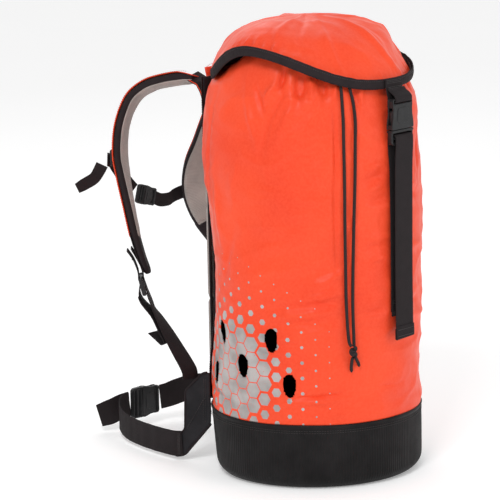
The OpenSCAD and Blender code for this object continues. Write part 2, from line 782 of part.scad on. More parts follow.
side_panel();
back_panel();
back_pad();
base_band();
base_disc();
collar();
mouth_hem();
hem_eyelets();
drawcord_ring();
drawcord_left();
drawcord_right();
drawcord_knot();
cord_lock_body();
cord_lock_plunger();
cord_lock_spring();
rope_tie_loop();
hinge_strip();
lid_shell();
lid_binding();
lid_tab();
lid_socket();
lid_plug();
lid_strap();
lid_strap_tail();
strap_anchor();
haul_loop();
shoulder_pad_left();
shoulder_pad_right();
shoulder_cover_left();
shoulder_cover_right();
shoulder_tab_left();
shoulder_tab_right();
adjuster_loop_left();
adjuster_loop_right();
adjuster_left();
adjuster_right();
lower_webbing_left();
lower_webbing_right();
hip_wing_left();
hip_wing_right();
hip_belt_left();
hip_belt_right();
hip_plug();
hip_socket();
hip_belt_tail();
chest_slider_left();
chest_slider_right();
chest_strap_left();
chest_strap_right();
chest_plug();
chest_socket();
chest_strap_tail();
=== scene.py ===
"""Rope storage bag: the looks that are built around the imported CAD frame.

Lengths are millimetres and angles are degrees, and mm() or MM turns lengths into metres. Directions
round the bag are measured from +X, so the front is at 270.
"""

import math
import random

import bpy
import numpy as np
from mathutils import Matrix, Vector, noise


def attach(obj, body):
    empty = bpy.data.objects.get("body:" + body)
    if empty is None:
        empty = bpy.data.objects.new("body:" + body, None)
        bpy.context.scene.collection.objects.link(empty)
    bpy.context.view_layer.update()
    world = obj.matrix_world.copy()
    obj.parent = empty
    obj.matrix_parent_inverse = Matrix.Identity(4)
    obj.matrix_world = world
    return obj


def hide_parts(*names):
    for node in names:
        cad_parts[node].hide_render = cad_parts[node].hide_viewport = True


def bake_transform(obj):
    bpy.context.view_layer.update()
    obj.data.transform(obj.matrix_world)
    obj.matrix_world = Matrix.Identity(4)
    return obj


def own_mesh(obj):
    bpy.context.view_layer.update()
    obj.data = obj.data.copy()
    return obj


MM = 0.001
FRONT = 270
WALL_R = 152                # the tube's radius, at which distances round it are measured
CORD_D = 4.5
CORD_GIRTH = 14.1           # round the cord, for the pitch of its braid
random.seed(7)

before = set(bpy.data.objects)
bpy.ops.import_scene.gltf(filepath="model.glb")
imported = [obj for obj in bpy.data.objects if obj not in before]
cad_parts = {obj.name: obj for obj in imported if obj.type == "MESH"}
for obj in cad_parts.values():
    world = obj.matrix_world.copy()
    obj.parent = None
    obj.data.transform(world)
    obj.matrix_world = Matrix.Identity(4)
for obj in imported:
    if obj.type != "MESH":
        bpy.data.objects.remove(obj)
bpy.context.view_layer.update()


# ---------------------------------------------------------------- lines and sections
def mm(points):
    return np.array(points, float) * MM


def polar(r, angle, z):
    a = math.radians(angle)
    return (r * math.cos(a), r * math.sin(a), z)


def smooth_line(points, n):
    """A Catmull-Rom line through the points, with n steps in each span."""
    p = np.array(points, float)
    last = len(p) - 1
    line = []
    for i in range(last):
        a, b, c, d = p[max(i - 1, 0)], p[i], p[i + 1], p[min(i + 2, last)]
        for k in range(n):
            t = k / n
            line.append(0.5 * (2 * b + (c - a) * t + (2 * a - 5 * b + 4 * c - d) * t * t
                               + (3 * b - a - 3 * c + d) * t ** 3))
    line.append(p[last])
    return np.array(line)


def line_length(line):
    return float(np.linalg.norm(np.diff(line, axis=0), axis=1).sum())


def evenly(line, step):
    """The same line with points about one step apart."""
    gaps = np.linalg.norm(np.diff(line, axis=0), axis=1)
    along = np.concatenate([[0], np.cumsum(gaps)])
    count = max(2, int(round(along[-1] / step)) + 1)
    at = np.linspace(0, along[-1], count)
    return np.stack([np.interp(at, along, line[:, k]) for k in range(3)], axis=1)


def unit(v):
    return v / np.maximum(np.linalg.norm(v, axis=-1, keepdims=True), 1e-12)


def line_frames(line, side):
    """Tangent, side and up directions at each point; side is one direction or one for each point."""
    tangent = unit(np.gradient(line, axis=0))
    side = np.broadcast_to(np.array(side, float), line.shape)
    side = unit(side - (side * tangent).sum(1, keepdims=True) * tangent)
    return tangent, side, np.cross(side, tangent)


def carried_side(line, first):
    """A side direction for each point that turns as little as it can along the line."""
    tangent = unit(np.gradient(line, axis=0))
    sides = [np.array(first, float)]
    for t in tangent:
        s = sides[-1]
        sides.append(unit(s - (s @ t) * t))
    return np.array(sides[1:])


def strap_section(width, thickness, corners=3):
    """A flat band with round edges, as [across, up] points."""
    r = thickness / 2
    right = [(width / 2 - r + r * math.cos(a), r * math.sin(a))
             for a in np.linspace(-math.pi / 2, math.pi / 2, corners + 2)]
    left = [(-x, -y) for x, y in right]
    top = [(x, r) for x in np.linspace(width / 4, -width / 4, 3)]
    return np.array(right + top + left + [(-x, -y) for x, y in top])


def round_section(diameter, sides):
    return np.array([(diameter / 2 * math.cos(a), diameter / 2 * math.sin(a))
                     for a in np.linspace(0, 2 * math.pi, sides, endpoint=False)])


# ---------------------------------------------------------------- meshes
def added(name, mesh, materials, sharp):
    """Puts a mesh in the scene, smooth but for the edges that turn by more than sharp degrees."""
    mesh.materials.clear()
    for material in materials if isinstance(materials, list) else [materials]:
        mesh.materials.append(material)
    mesh.polygons.foreach_set("use_smooth", [True] * len(mesh.polygons))
    mesh.set_sharp_from_angle(angle=math.radians(sharp))
    obj = bpy.data.objects.new(name, mesh)
    bpy.context.scene.collection.objects.link(obj)
    return obj


def make_mesh(name, points, faces, materials, sharp=50):
    mesh = bpy.data.meshes.new(name)
    mesh.from_pydata([tuple(p) for p in points], [], faces)
    return added(name, mesh, materials, sharp)


def map_vertices(obj, place):
    """UV coordinates in metres: place gives them for a vertex's number and position."""
    layer = obj.data.uv_layers.new(name="UVMap")
    for loop in obj.data.loops:
        number = loop.vertex_index
        layer.data[loop.index].uv = place(number, obj.data.vertices[number].co)


def sweep(name, line, side, section, material, scale=None):
    """A closed solid made by a section carried along a line, all in metres.
    scale gives [across, up] factors."""
    _, side, up = line_frames(line, side)
    n, m = len(line), len(section)
    factor = np.ones((n, 2)) if scale is None else np.array(scale, float)
    points = np.concatenate([
        line[i] + np.outer(section[:, 0] * factor[i, 0], side[i])
        + np.outer(section[:, 1] * factor[i, 1], up[i]) for i in range(n)])
    round_length = np.concatenate([[0], np.cumsum(np.linalg.norm(np.diff(
        np.vstack([section, section[:1]]), axis=0), axis=1))])
    along = np.concatenate([[0], np.cumsum(np.linalg.norm(np.diff(line, axis=0), axis=1))])
    faces, uv = [], []
    for i in range(n - 1):
        for j in range(m):
            k = (j + 1) % m
            faces.append((i * m + j, i * m + k, (i + 1) * m + k, (i + 1) * m + j))
            uv += [(round_length[j], along[i]), (round_length[j + 1], along[i]),
                   (round_length[j + 1], along[i + 1]), (round_length[j], along[i + 1])]
    faces.append(tuple(range(m - 1, -1, -1)))
    uv += [(section[j, 0], 0) for j in range(m - 1, -1, -1)]
    faces.append(tuple((n - 1) * m + j for j in range(m)))
    uv += [(section[j, 0], 0) for j in range(m)]
    obj = make_mesh(name, points, faces, material)
    layer = obj.data.uv_layers.new(name="UVMap")
    layer.data.foreach_set("uv", np.array(uv, float).ravel())
    return obj


def grid_mesh(name, rows, material, wrap=True, keep=None, flip=False):
    """A sheet through rows of points; wrap joins each row's ends, keep says which faces stay."""
    rows = np.array(rows, float)
    n, m = rows.shape[:2]
    faces = []
    for i in range(n - 1):
        for j in range(m if wrap else m - 1):
            k = (j + 1) % m
            if keep is None or keep(i, j, k):
                face = (i * m + j, i * m + k, (i + 1) * m + k, (i + 1) * m + j)
                faces.append(face[::-1] if flip else face)
    return make_mesh(name, rows.reshape(-1, 3), faces, material)


def joined(name, objects):
    """Several objects made into one piece."""
    bpy.ops.object.select_all(action="DESELECT")
    for o in objects:
        o.select_set(True)
    bpy.context.view_layer.objects.active = objects[0]
    bpy.ops.object.join()
    objects[0].name = name
    objects[0].data.name = name
    return objects[0]


def baked(obj):
    """Applies an object's modifiers to its mesh."""
    depsgraph = bpy.context.evaluated_depsgraph_get()
    mesh = bpy.data.meshes.new_from_object(obj.evaluated_get(depsgraph))
    obj.modifiers.clear()
    obj.data = mesh
    return obj


def thickened(obj, thickness, offset=-1.0, inner=0):
    """Gives a sheet its thickness, in metres; inner is added to the material index of its back."""
    solid = obj.modifiers.new("thickness", "SOLIDIFY")
    solid.thickness = thickness
    solid.offset = offset
    solid.material_offset = inner
    return baked(obj)


def plate(name, outlines, thickness, edge, material, matrix):
    """A flat plate with round edges: the first outline is its rim and the others are holes. It lies in
    the XZ plane of the matrix, with its faces along Y."""
    curve = bpy.data.curves.new(name, "CURVE")
    curve.dimensions = "2D"
    curve.fill_mode = "BOTH"
    curve.extrude = (thickness / 2 - edge) * MM
    curve.bevel_depth = edge * MM
    curve.bevel_resolution = 2
    curve.offset = -edge * MM
    for outline in outlines:
        spline = curve.splines.new("POLY")
        spline.points.add(len(outline) - 1)
        for p, (x, z) in zip(spline.points, outline):
            p.co = (x * MM, z * MM, 0, 1)
        spline.use_cyclic_u = True
    flat = bpy.data.objects.new(name, curve)
    bpy.context.scene.collection.objects.link(flat)
    bpy.context.view_layer.update()
    mesh = bpy.data.meshes.new_from_object(flat.evaluated_get(bpy.context.evaluated_depsgraph_get()))
    bpy.data.objects.remove(flat)
    mesh.transform(matrix @ Matrix.Rotation(math.radians(90), 4, "X"))
    return added(name, mesh, material, 35)


def rounded(outline, r, n=4):
    """An outline with each corner turned into an arc of about radius r."""
    p = np.array(outline, float)
    out = []
    for i in range(len(p)):
        a, b, c = p[i - 1], p[i], p[(i + 1) % len(p)]
        before, after = a - b, c - b
        cut = min(r, 0.45 * np.linalg.norm(before), 0.45 * np.linalg.norm(after))
        start, end = b + before / np.linalg.norm(before) * cut, b + after / np.linalg.norm(after) * cut
        for k in range(n + 1):
            t = k / n
            out.append((1 - t) ** 2 * start + 2 * t * (1 - t) * b + t * t * end)
    return [tuple(q) for q in out]


def rod(name, a, b, diameter, material):
    line = np.linspace(np.array(a, float), np.array(b, float), 3)
    side = (0, 0, 1) if abs((line[-1] - line[0])[2]) < 0.5 * line_length(line) else (1, 0, 0)
    return sweep(name, line, side, round_section(diameter, 16), material)


def stitches(name, lines, material, pitch=3.4, length=2.3, thick=0.55):
    """Rows of thread along lines in metres: each stitch is a short fat thread that dips at both ends.
    up is one direction or a function of the place that gives it."""
    section = round_section(thick * MM, 6)
    made = []
    for line, up in lines:
        line = evenly(line, pitch * MM)
        for a, b in zip(line[:-1], line[1:]):
            step = unit(b - a) * length * MM
            up_v = np.array(up(a) if callable(up) else up, float)
            dip = up_v * thick * MM * 0.5
            made.append((np.array([a - dip, a + step * 0.25, a + step * 0.75, a + step - dip]), up_v))
    points, faces = [], []
    for core, up_v in made:
        tangent = unit(np.gradient(core, axis=0))
        side = unit(np.cross(up_v, tangent))
        rise = np.cross(tangent, side)
        start = len(points)
        for i in range(len(core)):
            for s in section:
                points.append(core[i] + side[i] * s[0] + rise[i] * s[1])
        m = len(section)
        for i in range(len(core) - 1):
            for j in range(m):
                k = (j + 1) % m
                faces.append((start + i * m + j, start + i * m + k,
                              start + (i + 1) * m + k, start + (i + 1) * m + j))
    return make_mesh(name, points, faces, material, sharp=80)


# ---------------------------------------------------------------- camera
CAMERA_AZIMUTH = -50
CAMERA_ELEVATION = 10.8
CAMERA_DISTANCE = 4.5                    # metres from the bag's middle
CAMERA_LENS = 228.1
CAMERA_ROLL = 1.24
BAG_MIDDLE = Vector((0, 0, 0.3137))      # metres
AIM_LEFT = 0.0898                        # metres left of the middle, to take in the harness


def make_camera():
    a, e = math.radians(CAMERA_AZIMUTH), math.radians(CAMERA_ELEVATION)
    back = Vector((math.sin(a) * math.cos(e), -math.cos(a) * math.cos(e), math.sin(e)))
    right = Vector((math.cos(a), math.sin(a), 0))
    place = BAG_MIDDLE + back * CAMERA_DISTANCE
    data = bpy.data.cameras.new("camera")
    data.lens = CAMERA_LENS
    data.sensor_width = 36
    camera = bpy.data.objects.new("camera", data)
    bpy.context.scene.collection.objects.link(camera)
    look = (BAG_MIDDLE - right * AIM_LEFT - place).to_track_quat("-Z", "Y").to_matrix().to_4x4()
    camera.matrix_world = (Matrix.Translation(place) @ look
                           @ Matrix.Rotation(math.radians(-CAMERA_ROLL), 4, "Z"))
    bpy.context.scene.camera = camera


make_camera()


# ---------------------------------------------------------------- materials
class Shader:
    """One material's node tree, with short calls for the nodes that are used here."""

    def __init__(self, name, roughness=0.5, metallic=0.0, **sockets):
        self.material = bpy.data.materials.new(name)
        self.material.use_nodes = True
        self.tree = self.material.node_tree
        self.bsdf = self.tree.nodes["Principled BSDF"]
        self.bsdf.inputs["Roughness"].default_value = roughness
        self.bsdf.inputs["Metallic"].default_value = metallic
        for socket, value in sockets.items():
            self.bsdf.inputs[socket.replace("_", " ")].default_value = value
        self.where = self.tree.nodes.new("ShaderNodeTexCoord")

    def node(self, kind, inputs=(), **settings):
        made = self.tree.nodes.new("ShaderNode" + kind)
        for key, value in settings.items():
            setattr(made, key, value)
        for key, value in dict(inputs).items():
            self.feed(made.inputs[key], value)
        return made

    def feed(self, socket, value):
        if isinstance(value, bpy.types.NodeSocket):
            self.tree.links.new(value, socket)
        else:
            socket.default_value = value

    def math(self, operation, a, b=0.0):
        return self.node("Math", {0: a, 1: b}, operation=operation).outputs[0]

    def noise(self, scale, detail=3.0, rough=0.55):
        made = self.node("TexNoise", {"Scale": scale, "Detail": detail, "Roughness": rough})
        self.feed(made.inputs["Vector"], self.where.outputs["Object"])
        return made.outputs["Fac"]

    def between(self, value, low, high, to_low=0.0, to_high=1.0):
        return self.node("MapRange", {0: value, 1: low, 2: high, 3: to_low, 4: to_high}).outputs[0]

    def mix(self, share, a, b):
        made = self.node("Mix", data_type="RGBA")
        self.feed(made.inputs[0], share)
        self.feed(made.inputs[6], (*a, 1) if isinstance(a, tuple) else a)
        self.feed(made.inputs[7], (*b, 1) if isinstance(b, tuple) else b)
        return made.outputs[2]

    def uv(self, across, along):
        """UV coordinates in metres as counts of a pitch given in millimetres, across and along a strap."""
        split = self.node("SeparateXYZ", {0: self.where.outputs["UV"]})
        return (self.math("DIVIDE", split.outputs[0], across * MM),
                self.math("DIVIDE", split.outputs[1], along * MM))

    def wave(self, count):
        return self.math("SINE", self.math("MULTIPLY", count, 2 * math.pi))

    def bump(self, height, distance, strength=1.0):
        made = self.node("Bump", {"Height": height, "Distance": distance * MM, "Strength": strength})
        if self.bsdf.inputs["Normal"].is_linked:
            self.feed(made.inputs["Normal"], self.bsdf.inputs["Normal"].links[0].from_socket)
        self.feed(self.bsdf.inputs["Normal"], made.outputs[0])

    def set(self, **sockets):
        for socket, value in sockets.items():
            self.feed(self.bsdf.inputs[socket.replace("_", " ")], value)
        return self.material


ORANGE = (0.90, 0.078, 0.024)
ORANGE_DEEP = (0.80, 0.054, 0.017)
ORANGE_PALE = (0.94, 0.125, 0.055)
SILVER = (0.46, 0.44, 0.43)
SILVER_DULL = (0.33, 0.31, 0.30)
PRINT_PITCH = 22            # between the middles of two hexagons
PRINT_FULL = 56             # out to here the hexagons nearly touch
PRINT_FADE = 40             # beyond it they shrink by a factor e over this distance
PRINT_END = 168             # no dot is further out than this
PRINT_ANGLE = 10            # the print's middle, behind the bag's side
PRINT_HEIGHT = 160
PRINT_SHARE = 0.94          # the largest hexagon's share of the pitch
PRINT_EDGE = 0.12           # half of the soft edge of the ink


def hexagon_print(s):
    """1 on a field of hexagons that shrink to dots away from the middle of each flank, else 0."""
    p = s.node("SeparateXYZ", {0: s.where.outputs["Object"]})
    turn = s.math("ARCTAN2", p.outputs[1], s.math("ABSOLUTE", p.outputs[0]))
    arc = s.math("MULTIPLY", s.math("SUBTRACT", turn, math.radians(PRINT_ANGLE)), WALL_R)
    up = s.math("SUBTRACT", s.math("MULTIPLY", p.outputs[2], 1 / MM), PRINT_HEIGHT)
    wide = PRINT_PITCH * math.sqrt(3)
    best = None
    for shift in (0, 0.5):
        column = s.math("ROUND", s.math("SUBTRACT", s.math("DIVIDE", arc, wide), shift))
        row = s.math("ROUND", s.math("SUBTRACT", s.math("DIVIDE", up, PRINT_PITCH), shift))
        cx = s.math("MULTIPLY", s.math("ADD", column, shift), wide)
        cz = s.math("MULTIPLY", s.math("ADD", row, shift), PRINT_PITCH)
        x = s.math("ABSOLUTE", s.math("SUBTRACT", arc, cx))
        z = s.math("ABSOLUTE", s.math("SUBTRACT", up, cz))
        slope = s.math("ADD", s.math("MULTIPLY", x, math.sqrt(3) / 2), s.math("MULTIPLY", z, 0.5))
        reach = s.math("MAXIMUM", slope, z)
        away = s.math("SQRT", s.math("ADD", s.math("POWER", cx, 2), s.math("POWER", cz, 2)))
        shrink = s.math("EXPONENT", s.math("DIVIDE", s.math("SUBTRACT", PRINT_FULL, away), PRINT_FADE))
        size = s.math("MULTIPLY", s.math("MINIMUM", shrink, PRINT_SHARE), PRINT_PITCH / 2)
        size = s.math("MULTIPLY", size, s.math("LESS_THAN", away, PRINT_END))
        inside = s.between(s.math("SUBTRACT", size, reach), -PRINT_EDGE, PRINT_EDGE)
        best = inside if best is None else s.math("MAXIMUM", best, inside)
    return best


def tarpaulin(name, printed=False):
    """Coated orange fabric, with the silver print of hexagons or without it."""
    s = Shader(name, roughness=0.48, Specular_IOR_Level=0.20)
    broad = s.between(s.noise(7.0, 2.0), 0.3, 0.7)
    fine = s.between(s.noise(260.0, 3.0), 0.35, 0.65)
    colour = s.mix(broad, ORANGE, ORANGE_DEEP)
    colour = s.mix(s.math("MULTIPLY", fine, 0.22), colour, ORANGE_PALE)
    rough = s.between(s.noise(55.0, 4.0), 0.3, 0.7, 0.36, 0.50)
    s.bump(s.noise(620.0, 2.0), 0.10, 0.55)
    s.bump(s.noise(90.0, 3.0), 0.35, 0.30)
    if printed:
        ink = hexagon_print(s)
        worn = s.between(s.noise(420.0, 5.0, rough=0.7), 0.30, 0.40)
        ink = s.math("MULTIPLY", ink, worn)
        colour = s.mix(ink, colour, s.mix(s.between(s.noise(34.0, 2.0), 0.35, 0.65), SILVER, SILVER_DULL))
        s.set(Metallic=s.math("MULTIPLY", ink, 0.45))
        rough = s.math("SUBTRACT", rough, s.math("MULTIPLY", ink, 0.08))
        s.bump(ink, 0.05, 0.6)
    return s.set(Base_Color=colour, Roughness=rough)


def webbing(name, rib=1.9, dark=(0.013, 0.0105, 0.011), light=(0.030, 0.022, 0.024)):
    """Woven polyester: cross ribs with warp threads over and under them."""
    s = Shader(name, roughness=0.78, Specular_IOR_Level=0.16)
    u, v = s.uv(1.5, rib)
    shifted = s.math("MULTIPLY", s.math("ROUND", u), 0.5)
    weave = s.math("MULTIPLY", s.wave(s.math("ADD", v, shifted)), s.math("ABSOLUTE", s.wave(
        s.math("MULTIPLY", u, 0.5))))
    s.bump(weave, 0.16, 0.9)
    s.bump(s.noise(900.0, 2.0), 0.05, 0.5)
    share = s.math("MULTIPLY", s.between(weave, -1, 1), s.between(s.noise(60.0, 4.0), 0.3, 0.7, 0.5, 1.0))
    return s.set(Base_Color=s.mix(share, dark, light))


def braided(name):
    """Cord: four waves of braid go round it, each way."""
    s = Shader(name, roughness=0.74, Specular_IOR_Level=0.18)
    u, v = s.uv(CORD_GIRTH / 4, 3.2)
    weave = s.math("MULTIPLY", s.wave(s.math("ADD", u, v)), s.wave(s.math("SUBTRACT", u, v)))
    s.bump(weave, 0.22, 0.9)
    return s.set(Base_Color=s.mix(s.between(weave, -1, 1), (0.014, 0.011, 0.012), (0.040, 0.032, 0.033)))


def ribbed_black(name):
    """Heavy coated fabric of the base: its ribs are in the mesh and its grain is here."""
    s = Shader(name, roughness=0.62, Specular_IOR_Level=0.14)
    grain = s.noise(700.0, 3.0)
    s.bump(grain, 0.10, 0.7)
    rub = s.between(s.noise(16.0, 5.0, rough=0.65), 0.42, 0.80)
    colour = s.mix(rub, (0.0065, 0.0058, 0.006), (0.017, 0.0155, 0.016))
    return s.set(Base_Color=colour, Roughness=s.between(s.noise(40.0, 4.0), 0.3, 0.7, 0.46, 0.62))


def pack_cloth(name, dark=(0.012, 0.0115, 0.013), light=(0.024, 0.022, 0.025)):
    """Plain woven nylon of the wings and the back panel."""
    s = Shader(name, roughness=0.72, Specular_IOR_Level=0.16)
    p = s.node("SeparateXYZ", {0: s.where.outputs["Object"]})
    warp = s.wave(s.math("MULTIPLY", s.math("ADD", p.outputs[0], p.outputs[1]), 800))
    weft = s.wave(s.math("MULTIPLY", p.outputs[2], 900))
    s.bump(s.math("MULTIPLY", warp, weft), 0.06, 0.7)
    s.bump(s.noise(70.0, 3.0), 0.5, 0.35)
    return s.set(Base_Color=s.mix(s.between(s.noise(30.0, 4.0), 0.3, 0.7), dark, light))


def air_mesh(name):
    """Spacer mesh: a pale knit with rows of small round holes."""
    s = Shader(name, roughness=0.85, Specular_IOR_Level=0.25, Sheen_Weight=0.18, Sheen_Roughness=0.5)
    u, v = s.uv(2.6, 4.5)
    holes = s.math("MULTIPLY", s.wave(u), s.wave(v))
    holes = s.between(s.math("ABSOLUTE", holes), 0.45, 0.85)
    s.bump(s.math("SUBTRACT", 1.0, holes), 0.45, 0.9)
    s.bump(s.noise(500.0, 3.0), 0.12, 0.7)
    pale = s.mix(s.between(s.noise(45.0, 4.0), 0.3, 0.7), (0.48, 0.41, 0.38), (0.36, 0.325, 0.30))
    return s.set(Base_Color=s.mix(s.math("MULTIPLY", holes, 0.5), pale, (0.17, 0.145, 0.135)))


def moulded(name):
    """Black nylon with a fine spark grain, a little paler where it is worn."""
    s = Shader(name, roughness=0.42, Specular_IOR_Level=0.32)
    s.bump(s.noise(1500.0, 2.0), 0.03, 0.6)
    worn = s.between(s.noise(120.0, 4.0), 0.45, 0.75)
    colour = (0.010, 0.010, 0.0108)
    lighter = tuple(c * 1.9 for c in colour)
    return s.set(Base_Color=s.mix(worn, colour, lighter),
                 Roughness=s.between(s.noise(200.0, 3.0), 0.3, 0.7, 0.34, 0.48))


def thread(name, colour):
    s = Shader(name, roughness=0.6, Specular_IOR_Level=0.4)
    return s.set(Base_Color=s.mix(s.noise(800.0, 2.0), colour, tuple(c * 1.5 for c in colour)))


def plated_steel(name):
    s = Shader(name, roughness=0.3, metallic=1.0)
    return s.set(Base_Color=s.mix(s.noise(300.0, 3.0), (0.62, 0.62, 0.63), (0.48, 0.48, 0.50)),
                 Roughness=s.between(s.noise(500.0, 3.0), 0.3, 0.7, 0.22, 0.36))


TARP = tarpaulin("tarpaulin")
TARP_PRINTED = tarpaulin("tarpaulin_printed", printed=True)
LINING = pack_cloth("tarpaulin_back", (0.006, 0.006, 0.006), (0.011, 0.010, 0.010))
WEB = webbing("webbing")
BINDING = webbing("binding_tape", rib=1.3, dark=(0.014, 0.0105, 0.0115), light=(0.034, 0.024, 0.026))
CORD = braided("cord")
BASE = ribbed_black("base_fabric")
CLOTH = pack_cloth("pack_cloth")
MESH = air_mesh("air_mesh")
PLASTIC = moulded("plastic")
THREAD_BLACK = thread("thread_black", (0.035, 0.030, 0.030))
THREAD_RED = thread("thread_red", (0.60, 0.055, 0.020))
STEEL = plated_steel("steel")


# ---------------------------------------------------------------- placing pieces
def piece(obj, body, nodes=()):
    """obj moves with a body and stands for these CAD nodes."""
    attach(obj, body)
    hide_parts(*([nodes] if isinstance(nodes, str) else nodes))
    return obj


def seam(name, body, lines, slot="webbing_black", material=None, **sizes):
    return piece(stitches(name, lines, material or THREAD_BLACK, **sizes), body)


def outward(point):
    """Direction from the bag's axis through a point, level with the floor."""
    return unit(np.array([point[0], point[1], 0.0]))


def away_from_front(angle):
    return np.abs((np.asarray(angle, float) - FRONT + 180) % 360 - 180)


def displaced(rows, offset):
    """Moves a wrapped grid of points along its own normals."""
    across = np.roll(rows, -1, 1) - np.roll(rows, 1, 1)
    normal = unit(np.cross(across, np.gradient(rows, axis=0)))
    return rows + normal * offset[..., None]


def folds(u, v, places, span):
    """Heights of long soft ridges: each is (u, v, half length, half width, direction, height). span is
    the distance after which u is back at the same place."""
    height = np.zeros(np.broadcast(u, v).shape)
    for cu, cv, length, width, turn, rise in places:
        du = (u - cu + span / 2) % span - span / 2
        c, s = math.cos(math.radians(turn)), math.sin(math.radians(turn))
        p = (du * c + (v - cv) * s) / length
        q = ((v - cv) * c - du * s) / width
        height = height + rise * np.exp(-p * p - q * q)
    return height


def crumple(rows, sizes, seed):
    """Creased noise over a grid of points in millimetres: sizes holds (width, height, depth) triples."""
    out = np.zeros(rows.shape[:2])
    for k, (wide, tall, depth) in enumerate(sizes):
        shift = Vector((seed + 3.7 * k, seed * 1.3, 2.1 * k))
        for i in range(rows.shape[0]):
            for j in range(rows.shape[1]):
                x, y, z = rows[i, j]
                n = noise.noise(Vector((x / wide, y / wide, z / tall)) + shift)
                out[i, j] += depth * (n if k % 2 == 0 else 0.35 - min(1.0, abs(n) * 3.2))
    return out


# ---------------------------------------------------------------- drawcord
LEFT_STRAND = [polar(*p) for p in (
    (78.6, 237, 591.5), (82, 237.8, 594), (86, 239.1, 596.8), (94, 239.1, 597.8), (102, 239.1, 597),
    (109, 238.6, 593.6), (116.5, 238, 589), (125, 237.6, 583), (134, 237.4, 573.5), (139.8, 237.2, 564.5),
    (143, 237.1, 555), (147, 237, 539), (152.2, 236.8, 515), (154.8, 236.5, 490), (157.2, 236.4, 440),
    (157.6, 236.2, 380), (157.4, 236.2, 320), (156.6, 236.4, 262), (156, 237.4, 215), (157.6, 238.6, 204))]
RIGHT_STRAND = [polar(*p) for p in (
    (78.6, 244, 591.5), (82, 243.2, 594), (86, 241.9, 596.8), (94, 241.9, 597.8), (102, 241.9, 597),
    (109, 242.2, 593.6), (116.5, 242.2, 589), (125, 242, 583), (134, 241.8, 573.5), (139.8, 242.1, 564.5),
    (143, 242.6, 555), (147, 243.4, 539), (152.2, 243.4, 515), (154.8, 242.8, 490), (157.2, 242, 440),
    (157.6, 241, 380), (157.4, 240.2, 320), (156.6, 239.8, 262), (156, 240.2, 215), (157.6, 240, 204))]
LEFT_TAIL = [polar(*p) for p in ((159, 239, 188), (157, 238.7, 181), (155.8, 238.6, 174),
                                 (155.2, 238.8, 167))]
RIGHT_TAIL = [polar(*p) for p in ((159, 240.4, 189), (157.6, 241.4, 184), (156.4, 242.4, 179),
                                  (155.6, 243, 174))]
KNOT_MIDDLE = polar(158.6, 239.4, 196)


def cord_tube(name, line, end_melt=False):
    """Cord along a line in metres, with a melted end or without one."""
    line = evenly(line, 1.6 * MM)
    side = carried_side(line, (0.31, 0.17, 0.93))
    scale = np.ones((len(line), 2))
    if end_melt:                          # the cut end is melted to a smaller round tip
        scale[-1] = 0.35
        scale[-2] = 0.85
    return sweep(name, line, side, round_section(CORD_D * MM, 14), CORD, scale=scale)


def make_knot():
    """An overhand knot: one turn of doubled cord round the two strands, and the two melted ends."""
    middle = Vector(KNOT_MIDDLE) * MM
    out = Vector((middle.x, middle.y, 0)).normalized()
    aside = Vector((-out.y, out.x, 0))
    turn = []
    for k in range(41):
        t = 2 * math.pi * k / 40 * 1.5
        x = 3.7 * math.sin(t)
        y = 2.7 * math.cos(t) + 0.4
        z = 6.4 - 12.8 * k / 40 + 1.6 * math.sin(2 * t)
        turn.append(middle + (aside * x + out * y + Vector((0, 0, z))) * MM)
    counter = [middle + (aside * (-0.62 * (p - middle).dot(aside)) + out * ((p - middle).dot(out) * 0.62))
               + Vector((0, 0, -(p - middle).z * 0.55)) for p in turn]
    parts = [cord_tube("knot_turn", np.array([tuple(p) for p in turn])),
             cord_tube("knot_core", np.array([tuple(p) for p in counter])),
             cord_tube("knot_left", smooth_line(mm(LEFT_TAIL), 4), end_melt=True),
             cord_tube("knot_right", smooth_line(mm(RIGHT_TAIL), 4), end_melt=True)]
    return piece(joined("drawcord_overhand_knot", parts), "bag", "drawcord_knot")


def make_drawcord():
    knot = make_knot()
    for name, points in (("left", LEFT_STRAND), ("right", RIGHT_STRAND)):
        line = smooth_line(mm(points), 6)
        strand = piece(cord_tube(f"drawcord_strand_{name}", line), "bag", f"drawcord_{name}")
        path = evenly(line, 4 * MM)


make_drawcord()


# ---------------------------------------------------------------- the bag's shape
BACK_Y = 137.5              # the tube's flat back
BACK_SOFT = 8               # how gently the round meets it
SIDE_A = 85                 # the hem is highest this many degrees from the front
REAR_A = 128                # and is down again here
RIGHT_SHARE = 0.34          # the right side is drawn up less than the left
WALL_RISE = 30
GIRTH = 2 * math.pi * WALL_R
# radius, height and share of the rise at the sides, from the base up to the mouth
WALL = [(150, 92.6, 0), (151.8, 190, 0), (154, 330, 0), (153.6, 440, 0), (149, 515, 0),
        (138.5, 556, 0.05), (132.5, 566, 0.5), (122, 574.5, 1), (108, 581.5, 1), (92, 585.5, 0.5),
        (78.5, 587.5, 0)]
DRAIN_SIDES = (178, 2)      # the middle of each group of drain holes
# turn from the middle and height of each hole
DRAINS = [(-18.5, 212), (18.5, 212), (0, 171), (-28, 148), (28, 148)]
DRAIN_W = 19
DRAIN_H = 34


def side_bump(angle):
    """Share of its rise that the hem has in a direction."""
    b = away_from_front(angle)
    front = np.sin(np.radians(90 * np.minimum(b, SIDE_A) / SIDE_A)) ** 3
    rear = np.cos(np.radians(90 * np.clip((b - SIDE_A) / (REAR_A - SIDE_A), 0, 1)))
    on_right = np.cos(np.radians(angle)) > 0
    return np.where(b < SIDE_A, front, np.maximum(rear, 0) ** 1.5) * np.where(on_right, RIGHT_SHARE, 1.0)


def flattened(r, angle):
    """The radius, cut back to the flat at the wearer's back."""
    s = np.sin(np.radians(angle))
    limit = np.where(s > 0.2, BACK_Y / np.maximum(s, 0.2), 1e4)
    overlap = np.maximum(BACK_SOFT - np.abs(r - limit), 0)
    return np.minimum(r, limit) - overlap ** 2 / (4 * BACK_SOFT)


